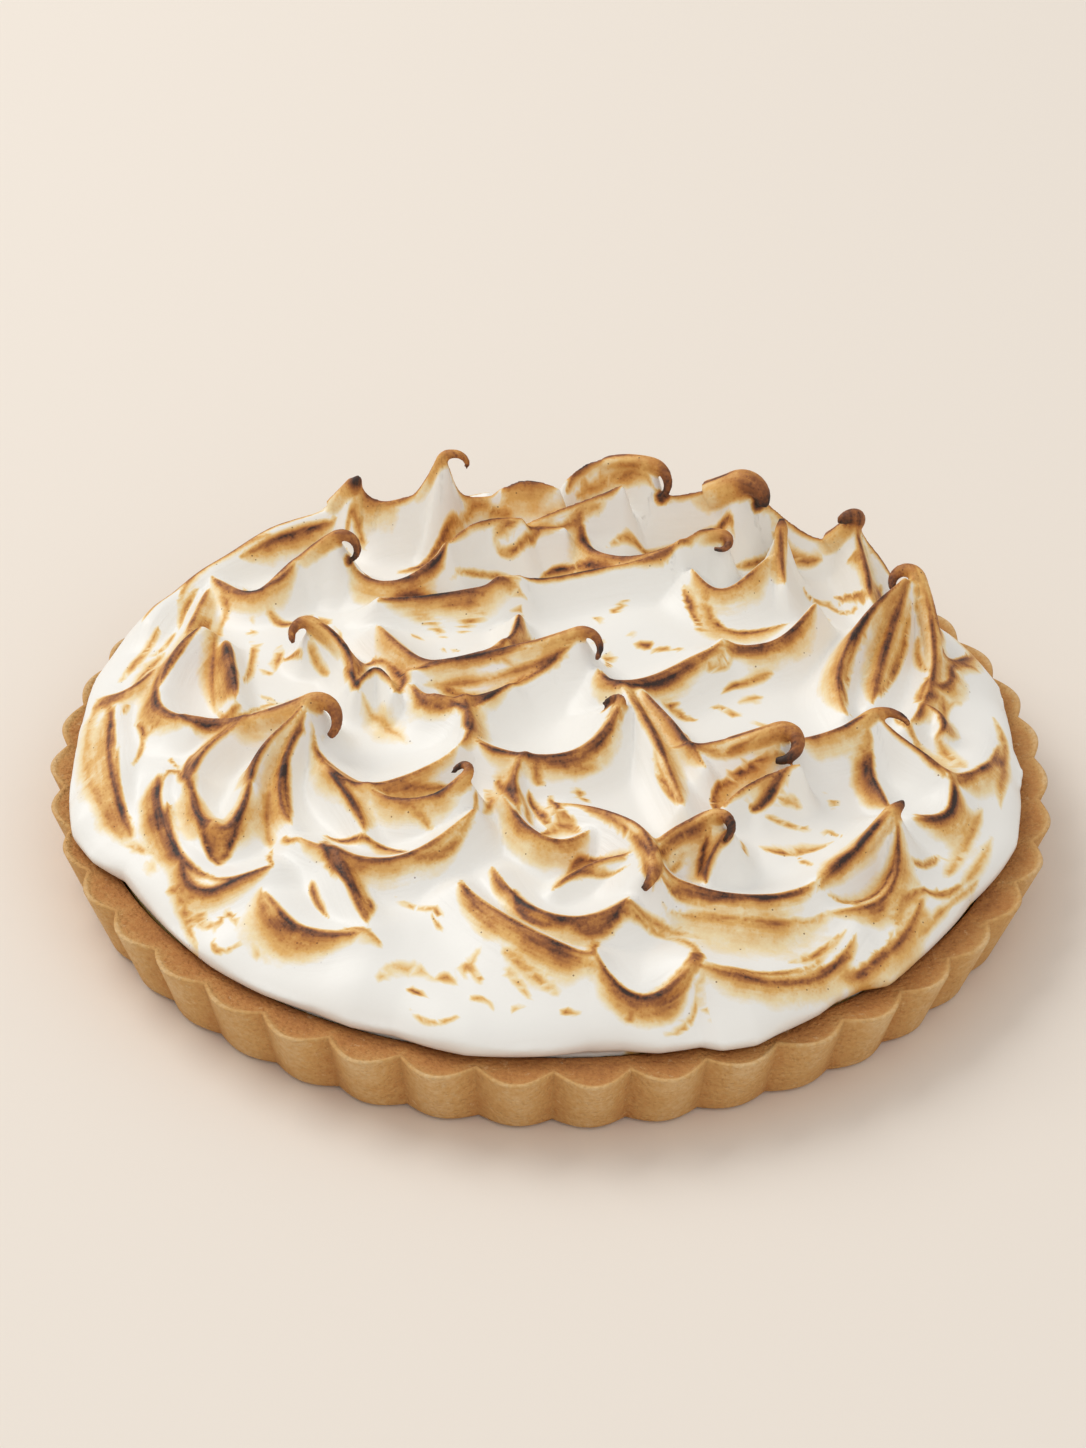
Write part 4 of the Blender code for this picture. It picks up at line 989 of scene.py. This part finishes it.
@dataclass
class Crust:
    """The fluted shell, with its rim cut flat and its outer edge raised a little. Sizes in mm."""

    rim_radius: float = 133.7
    foot_radius: float = 127.2
    rim_lobe: float = 6.3
    foot_lobe: float = 3.3
    height: float = 21.0
    flutes: int = 42
    first_notch: float = -89.02
    inner_radius: float = 126.0
    inner_foot_radius: float = 121.0
    floor: float = 4.5
    steps_per_flute: int = 24
    wall_rings: int = 22
    lean_of_crumb: float = 0.35

    def outline(self, turn: Array, notch: float, lobe: float) -> Array:
        """Radius of the outside at an angle.

        Args:
            turn: angles from the first notch.
            notch: radius of the notches.
            lobe: how far the flutes stand out.

        Returns:
            The radii.
        """
        place = turn * self.flutes / (2 * math.pi) % 1.0
        swell = 0.75 + 0.25 * np.cos(2 * turn) + 0.08 * np.sin(5 * turn + 2.0) + 0.06 * np.sin(11 * turn)
        return notch + lobe * swell * np.sin(math.pi * place)

    def profile(self) -> list[tuple[float, float, float]]:
        """The section as (share of the flutes' depth, inset, height), or an inner radius with no flutes."""
        wall = [(share, 0.0, share * self.height) for share in np.linspace(0.06, 0.96, self.wall_rings)]
        foot = [(0.0, 3.0, 0.0), (0.0, 1.4, 0.1), (0.02, 0.4, 0.6)]
        rim = [(1.0, 0.15, self.height - 0.4), (1.0, 0.6, self.height), (1.0, 1.3, self.height - 0.1)]
        return foot + wall + rim + [(1.0, 1.9, self.height - 0.6), (1.0, 2.8, self.height - 0.8)]

    def mesh(self) -> bpy.types.Mesh:
        """Builds the shell's mesh with its bake on each corner."""
        turn = np.linspace(0, 2 * math.pi, self.flutes * self.steps_per_flute + 1)
        turn[-1] = 0
        angle = turn + math.radians(self.first_notch)
        rings: list[tuple[Array, float, float]] = []
        for share, inset, height in self.profile():
            notch = self.foot_radius + (self.rim_radius - self.foot_radius) * share - inset
            lobe = self.foot_lobe + (self.rim_lobe - self.foot_lobe) * share
            rings.append((self.outline(turn, notch, lobe), height, 0.0))
        outer = rings[-1][0]
        for share in (0.3, 0.6, 0.85):
            rings.append((outer + (self.inner_radius - outer) * share, self.height - 0.8 - 0.3 * share, share))
        rings.append((0 * turn + self.inner_radius, self.height - 1.2, 1.0))
        rings.append((0 * turn + self.inner_radius - 0.4, self.height - 1.9, 1.0))
        rings.append((0 * turn + self.inner_foot_radius, self.floor, 0.5))
        rings.append((0 * turn, self.floor, 0.5))
        rings.insert(0, (0 * turn, 0.0, 0.3))
        table = np.stack(
            [
                np.stack([radius * np.cos(angle), radius * np.sin(angle), height + 0 * turn], -1)
                for radius, height, _ in rings
            ]
        )
        shape = bmesh.new()
        wrapped_grid(shape, MM * table)
        return mesh_from(shape, "crust_shell")

    def bake(self, mesh: bpy.types.Mesh) -> None:
        """Stores how browned each corner is: the rim's top most, darker towards the bottom of the wall, and darker in
        the notches between the flutes than on their ribs, which is painted shade.
        """
        x, y, z = corners_of(mesh).T / MM
        reach = np.hypot(x, y)
        turn = np.arctan2(y, x) - math.radians(self.first_notch)
        place = turn * self.flutes / (2 * math.pi) % 1.0
        rib = np.sin(math.pi * place)
        edge = self.outline(turn, self.rim_radius, self.rim_lobe)
        top = np.clip((z - (self.height - 1.7)) / 0.5, 0, 1) * np.clip((edge - reach - 1.2) / 1.5, 0, 1)
        inward = np.clip((edge - reach) / 8.0, 0, 1)
        # painted shade: the wall is darker in the notches between the flutes than on the ribs; it is also darker
        # towards the bottom
        wall = 0.42 - 0.22 * rib + 0.1 * (1 - z / self.height)
        carry(mesh, "bake", np.where(top > 0, wall + top * (0.45 + 0.25 * inward - wall), wall))

    def build(self, finish: CrustFinish) -> bpy.types.Object:
        """Builds and dresses the shell.

        Args:
            finish: its finish.

        Returns:
            The piece.
        """
        mesh = self.mesh()
        self.bake(mesh)
        piece = placed("crust_shell", mesh, finish.material())
        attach(piece, "root")
        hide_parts("crust")
        return piece


@dataclass
class Meringue:
    """The toasted meringue: a dome that carries the strokes, with a hook at the end of the tall ones. Sizes in mm."""

    rim_height: float = 21.0
    edge_radius: float = 129.0
    dome_radius: float = 130.0
    dome_rise: float = 30.0
    hollow_depth: float = 9.0
    sharpness: float = 5.0
    lip: tuple[tuple[float, float], ...] = ((-0.1, 4.0), (0.0, 2.6), (0.4, 1.4), (1.2, 0.5), (3.0, 0.35))
    plug_radius: float = 124.8
    plug_depth: float = 2.6
    rings: int = 170
    steps: int = 860
    voxel: float = 0.7
    smoothing: int = 3
    triangles: int = 190000
    hook_tip: float = 0.42
    hook_sink: float = 3.0
    hook_root_points: int = 8
    hook_drop: float = 0.35
    hook_steps: int = 18
    wobble: float = 0.35
    core: float = 0.8
    drag_fade: float = 2.5
    tallest: float = 70.5

    def edge_at(self, turn: Array) -> Array:
        """Radius of the wavy edge at an angle."""
        angles, radii = zip(*EDGE)
        return np.interp(np.degrees(turn), angles, radii, period=360)

    def reach_of(self, x: Array, y: Array) -> Array:
        """Share of the way from the middle to the dome's foot, along the wavy edge."""
        stretched = np.hypot(x, y) * self.edge_radius / self.edge_at(np.arctan2(y, x))
        return stretched / self.dome_radius

    def skin_height(self, x: Array, y: Array) -> Array:
        """Height of the plain dome above the rim. Past its edge it falls away steeply."""
        reach = self.reach_of(x, y)
        inside = self.dome_rise * np.sqrt(np.clip(1 - reach**3, 0, None))
        return inside - 6 * self.dome_radius * np.clip(reach - 1, 0, None)

    def sweep(self, x: Array, y: Array) -> dict[str, Array]:
        """Works out what the strokes make of each place.

        Args:
            x: places, in mm.
            y: places, in mm.

        Returns:
            "height" above the rim, "toast", "flow", which runs along and across the nearest stroke, and "drag",
            which is how plainly that stroke is the one that shaped the place.
        """
        reach = np.clip(self.reach_of(x, y), 0, 1)
        hollow = self.hollow_depth * (1 - reach**6)
        total, lead, second, toast = (np.zeros_like(x) for _ in range(4))
        flow = np.zeros((*x.shape, 3))
        for index, stroke in enumerate(STROKES):
            points = stroke.crest()
            margin = max(stroke.left, stroke.right)
            low, high = points.min(axis=0) - margin, points.max(axis=0) + margin
            near = (x > low[0]) & (x < high[0]) & (y > low[1]) & (y < high[1])
            place = np.stack([x[near], y[near]], axis=-1)
            found = nearest_on(points, place)
            nearest, side, share, top = found.distance, found.side, found.share, found.top
            neck = stroke.hook[3] if stroke.hook else stroke.thick
            thick = stroke.thick + (neck - stroke.thick) * np.clip(4 * share - 3, 0, 1)
            rounded = np.hypot(nearest, thick) - thick
            flank = stroke.right + (stroke.left - stroke.right) * (0.5 + 0.5 * side)
            fall = np.clip(1 - rounded / flank, 0, 1) ** 2
            rise = np.clip(top + hollow[near], 0, None) * fall
            total[near] += rise**self.sharpness
            leads = rise > lead[near]
            second[near] = np.where(leads, lead[near], np.maximum(second[near], rise))
            lead[near] = np.where(leads, rise, lead[near])
            length = float(np.linalg.norm(np.diff(points, axis=0), axis=1).sum())
            along_and_across = np.stack([share * length, side * nearest, 0 * share + 50 * index], axis=-1)
            flow[near] = np.where(leads[:, None], along_and_across, flow[near])
            glow = glow_of(found, stroke.glow, self.core, 0.25)
            toast[near] = np.maximum(toast[near], stroke.toast * glow)
        wobble = np.sin(x / 7.1 + 2 * np.sin(y / 9.3)) + np.sin(y / 6.3 + 2 * np.sin(x / 11.7 + 1))
        height = self.skin_height(x, y) - hollow + total ** (1 / self.sharpness) * (1 - reach**14)
        height = height + self.wobble * wobble * (1 + 2 * reach**8)
        drag = np.clip((lead - second) / self.drag_fade, 0, 1)
        return {"height": height, "toast": toast, "flow": flow, "drag": drag}

    def hook_line(self, stroke: Stroke) -> tuple[list[Vector], list[float]]:
        """The centre line of a stroke's hook, in mm from the rim, and its radii."""
        length, heading, curl, neck = stroke.hook
        crest = stroke.crest()[-self.hook_root_points :]
        crest[:, 2] += self.skin_height(crest[:, 0], crest[:, 1])
        crest[:, 2] -= np.linspace(self.hook_sink, neck / 2, len(crest))
        points = [Vector(point) for point in crest]
        radii = [neck] * len(crest)
        run = (points[-1] - points[-3]).normalized()
        heading = math.radians(heading)
        axis = run.cross(Vector((math.cos(heading), math.sin(heading), -self.hook_drop))).normalized()
        for step in range(1, self.hook_steps + 1):
            share = step / self.hook_steps
            points.append(points[-1] + run * length / self.hook_steps)
            radii.append(neck + (self.hook_tip * neck - neck) * share)
            run = Matrix.Rotation(math.radians(curl) / self.hook_steps, 3, axis) @ run
        return points, radii

    def hook_mesh(self, stroke: Stroke) -> bpy.types.Mesh:
        """The hook as a closed tapering tube."""
        points, radii = self.hook_line(stroke)
        curve = bpy.data.curves.new("hook", "CURVE")
        curve.dimensions = "3D"
        curve.bevel_depth = MM
        curve.bevel_resolution = 3
        curve.use_fill_caps = True
        line = curve.splines.new("POLY")
        line.points.add(len(points) - 1)
        for knot, point, radius in zip(line.points, points, radii):
            knot.co = (MM * point.x, MM * point.y, MM * point.z, 1)
            knot.radius = radius
        tube = bpy.data.objects.new("hook", curve)
        mesh = bpy.data.meshes.new_from_object(tube)
        bpy.data.objects.remove(tube)
        return mesh

    def skin(self, shape: bmesh.types.BMesh) -> None:
        """Adds the swept dome to a bmesh, with its rounded lip and the plug below it."""
        turn = np.linspace(-math.pi, math.pi, self.steps + 1)
        edge = self.edge_at(turn)
        spread = np.linspace(0, math.pi / 2, self.rings)[:, None]
        x, y = (np.sin(spread) * edge * part(turn) for part in (np.cos, np.sin))
        rows = [np.stack([x, y, self.sweep(x, y)["height"]], axis=-1)]
        below = [(edge - inset, height) for inset, height in self.lip]
        below += [(self.plug_radius, 0.35), (self.plug_radius, -self.plug_depth), (0, -self.plug_depth)]
        for radius, height in below:
            ring = np.stack([radius * np.cos(turn), radius * np.sin(turn), height + 0 * turn], axis=-1)
            rows.append(ring[None])
        wrapped_grid(shape, MM * np.concatenate(rows))

    def joined_mesh(self) -> bpy.types.Mesh:
        """The dome and its hooks as one skin of even facets."""
        shape = bmesh.new()
        self.skin(shape)
        for stroke in STROKES:
            if stroke.hook:
                shape.from_mesh(self.hook_mesh(stroke))
        mesh = mesh_from(shape, "meringue_parts")
        mesh.transform(Matrix.Translation((0, 0, MM * self.rim_height)))
        joined = self.modified(mesh, {"REMESH": {"mode": "VOXEL", "voxel_size": self.voxel * MM}})
        self.clear_underside(joined)
        corners = sum(len(face.vertices) - 2 for face in joined.polygons)
        ratio = min(1.0, self.triangles / corners)
        steps = {"SMOOTH": {"factor": 0.5, "iterations": self.smoothing}, "DECIMATE": {"ratio": ratio}}
        made = self.modified(joined, steps)
        for vertex in made.vertices:
            vertex.co.z = min(vertex.co.z, MM * self.tallest)
        made.shade_smooth()
        return made

    @staticmethod
    def modified(mesh: bpy.types.Mesh, steps: Mapping[str, Mapping[str, object]]) -> bpy.types.Mesh:
        """A mesh with modifiers applied to it.

        Args:
            mesh: the mesh, which is used up.
            steps: each modifier's settings by its type, in order.

        Returns:
            The new mesh.
        """
        holder = bpy.data.objects.new("rough", mesh)
        bpy.context.scene.collection.objects.link(holder)
        for kind, settings in steps.items():
            modifier = holder.modifiers.new(kind.lower(), kind)
            for key, value in settings.items():
                setattr(modifier, key, value)
        made = finished_mesh(holder)
        bpy.data.objects.remove(holder)
        bpy.data.meshes.remove(mesh)
        return made

    def clear_underside(self, mesh: bpy.types.Mesh) -> None:
        """Joins the small facets of the flat underside, which nobody sees, into a few large faces."""
        shape = bmesh.new()
        shape.from_mesh(mesh)
        limit = MM * (self.rim_height - 1.0)
        below = [face for face in shape.faces if face.normal.z < -0.99 and face.calc_center_median().z < limit]
        bmesh.ops.dissolve_faces(shape, faces=below)
        bmesh.ops.triangulate(shape, faces=[face for face in shape.faces if len(face.verts) > 4])
        shape.to_mesh(mesh)
        shape.free()

    def paint(self, mesh: bpy.types.Mesh) -> None:
        """Stores the toast and the flow of the strokes on each corner."""
        place = corners_of(mesh) / MM - (0, 0, self.rim_height)
        x, y = place[:, 0], place[:, 1]
        swept = self.sweep(x, y)
        toast = swept["toast"]
        marks = np.zeros_like(toast)
        for scorch in SCORCHES:
            marks = np.maximum(marks, scorch.over(x, y))
        toast = toast + marks * (1 - toast)
        for stroke in STROKES:
            if stroke.hook:
                toast = np.maximum(toast, self.hook_toast(stroke, place))
        carry(mesh, "toast", toast)
        carry(mesh, "flow", swept["flow"])
        carry(mesh, "drag", swept["drag"])

    def hook_toast(self, stroke: Stroke, place: Array) -> Array:
        """How toasted each place is by the flame on a hook, most at its tip."""
        points, radii = self.hook_line(stroke)
        toast = np.zeros(len(place))
        last = len(points) - 1
        for step, (point, radius) in enumerate(zip(points, radii)):
            distance = np.linalg.norm(place - np.array(point), axis=1)
            share = step / last
            closeness = np.exp(-((np.clip(distance - radius, 0, None) / 1.2) ** 2))
            toast = np.maximum(toast, closeness * min(1.0, stroke.toast * (0.3 + 0.9 * share)))
        return toast

    def build(self, finish: MeringueFinish) -> bpy.types.Object:
        """Builds and dresses the meringue.

        Args:
            finish: its finish.

        Returns:
            The piece.
        """
        mesh = self.joined_mesh()
        self.paint(mesh)
        piece = placed("meringue_swirls", mesh, finish.material())
        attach(piece, "root")
        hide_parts("meringue")
        return piece


@dataclass
class LemonFilling:
    """The lemon curd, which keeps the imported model's own disc."""

    def build(self, finish: LemonFinish) -> bpy.types.Object:
        """Dresses the filling."""
        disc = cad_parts["lemon_filling"]
        disc.data.materials.clear()
        disc.data.materials.append(finish.material())
        return disc


# ---------------------------------------------------------------- the studio


@dataclass
class Studio:
    """The pale floor, the soft lights and the camera. Sizes in metres, angles in degrees."""

    distance: float = 1.5655
    elevation: float = 35.12
    pitch: float = 34.65
    yaw: float = -0.12
    roll: float = 1.24
    lens: float = 141.98
    target_height: float = 0.021
    floor_size: float = 12.0

    def floor(self, finish: FloorFinish) -> bpy.types.Object:
        """Lays the floor just under the pie."""
        shape = bmesh.new()
        bmesh.ops.create_grid(shape, x_segments=1, y_segments=1, size=self.floor_size / 2)
        piece = placed("floor", mesh_from(shape, "floor"), finish.material())
        piece.location.z = -0.0002
        return piece

    def light(self, name: str, place: Point, aim: Point, size: float, power: float, colour: Colour) -> None:
        """Hangs a soft square light.

        Args:
            name: its name.
            place: where it hangs.
            aim: what it points at.
            size: its side.
            power: its power in watts.
            colour: its colour.
        """
        lamp = bpy.data.lights.new(name, "AREA")
        lamp.size = size
        lamp.energy = power
        lamp.color = colour
        made = bpy.data.objects.new(name, lamp)
        made.location = place
        made.rotation_euler = (Vector(aim) - Vector(place)).to_track_quat("-Z", "Y").to_euler()
        bpy.context.scene.collection.objects.link(made)

    def sky(self, colour: Colour, strength: float) -> None:
        """Sets the even light from all round."""
        world = bpy.data.worlds.new("studio")
        world.use_nodes = True
        background = world.node_tree.nodes["Background"]
        background.inputs["Color"].default_value = (*colour, 1.0)
        background.inputs["Strength"].default_value = strength
        bpy.context.scene.world = world

    def camera(self) -> bpy.types.Object:
        """Sets up the camera."""
        elevation, pitch, yaw, roll = (
            math.radians(angle) for angle in (self.elevation, self.pitch, self.yaw, self.roll)
        )
        ahead = Vector((math.sin(yaw) * math.cos(pitch), math.cos(yaw) * math.cos(pitch), -math.sin(pitch)))
        right = Vector((math.cos(yaw), -math.sin(yaw), 0.0))
        up = right.cross(ahead)
        level_right = math.cos(roll) * right + math.sin(roll) * up
        level_up = -math.sin(roll) * right + math.cos(roll) * up
        lens = bpy.data.cameras.new("camera")
        lens.lens = self.lens
        lens.sensor_width = 36.0
        lens.clip_end = 50.0
        made = bpy.data.objects.new("camera", lens)
        back, rise = self.distance * math.cos(elevation), self.distance * math.sin(elevation)
        turned = Matrix((level_right, level_up, -ahead)).transposed().to_4x4()
        made.matrix_world = Matrix.Translation((0, -back, self.target_height + rise)) @ turned
        bpy.context.scene.collection.objects.link(made)
        bpy.context.scene.camera = made
        return made

    def build(self, finish: FloorFinish) -> None:
        """Sets the whole studio up."""
        bpy.context.scene.view_settings.view_transform = "Standard"
        self.floor(finish)
        self.light("window", (-1.3, 0.9, 1.7), (0, 0, 0.02), 1.6, 26.0, (1.0, 0.99, 0.97))
        self.light("fill", (0.6, -1.6, 1.4), (0, 0, 0.02), 1.8, 8.0, (1.0, 0.98, 0.96))
        self.sky((1.0, 0.985, 0.97), 0.62)
        self.camera()


def main() -> None:
    """Builds the pie and its studio, and reports each piece."""
    logging.basicConfig(level=logging.INFO, format="%(message)s")
    pieces = (
        Crust().build(CrustFinish()),
        LemonFilling().build(LemonFinish()),
        Meringue().build(MeringueFinish()),
    )
    for piece in pieces:
        log.info("%s: %d faces", piece.name, len(piece.data.polygons))
    Studio().build(FloorFinish())


if __name__ == "__main__":
    main()
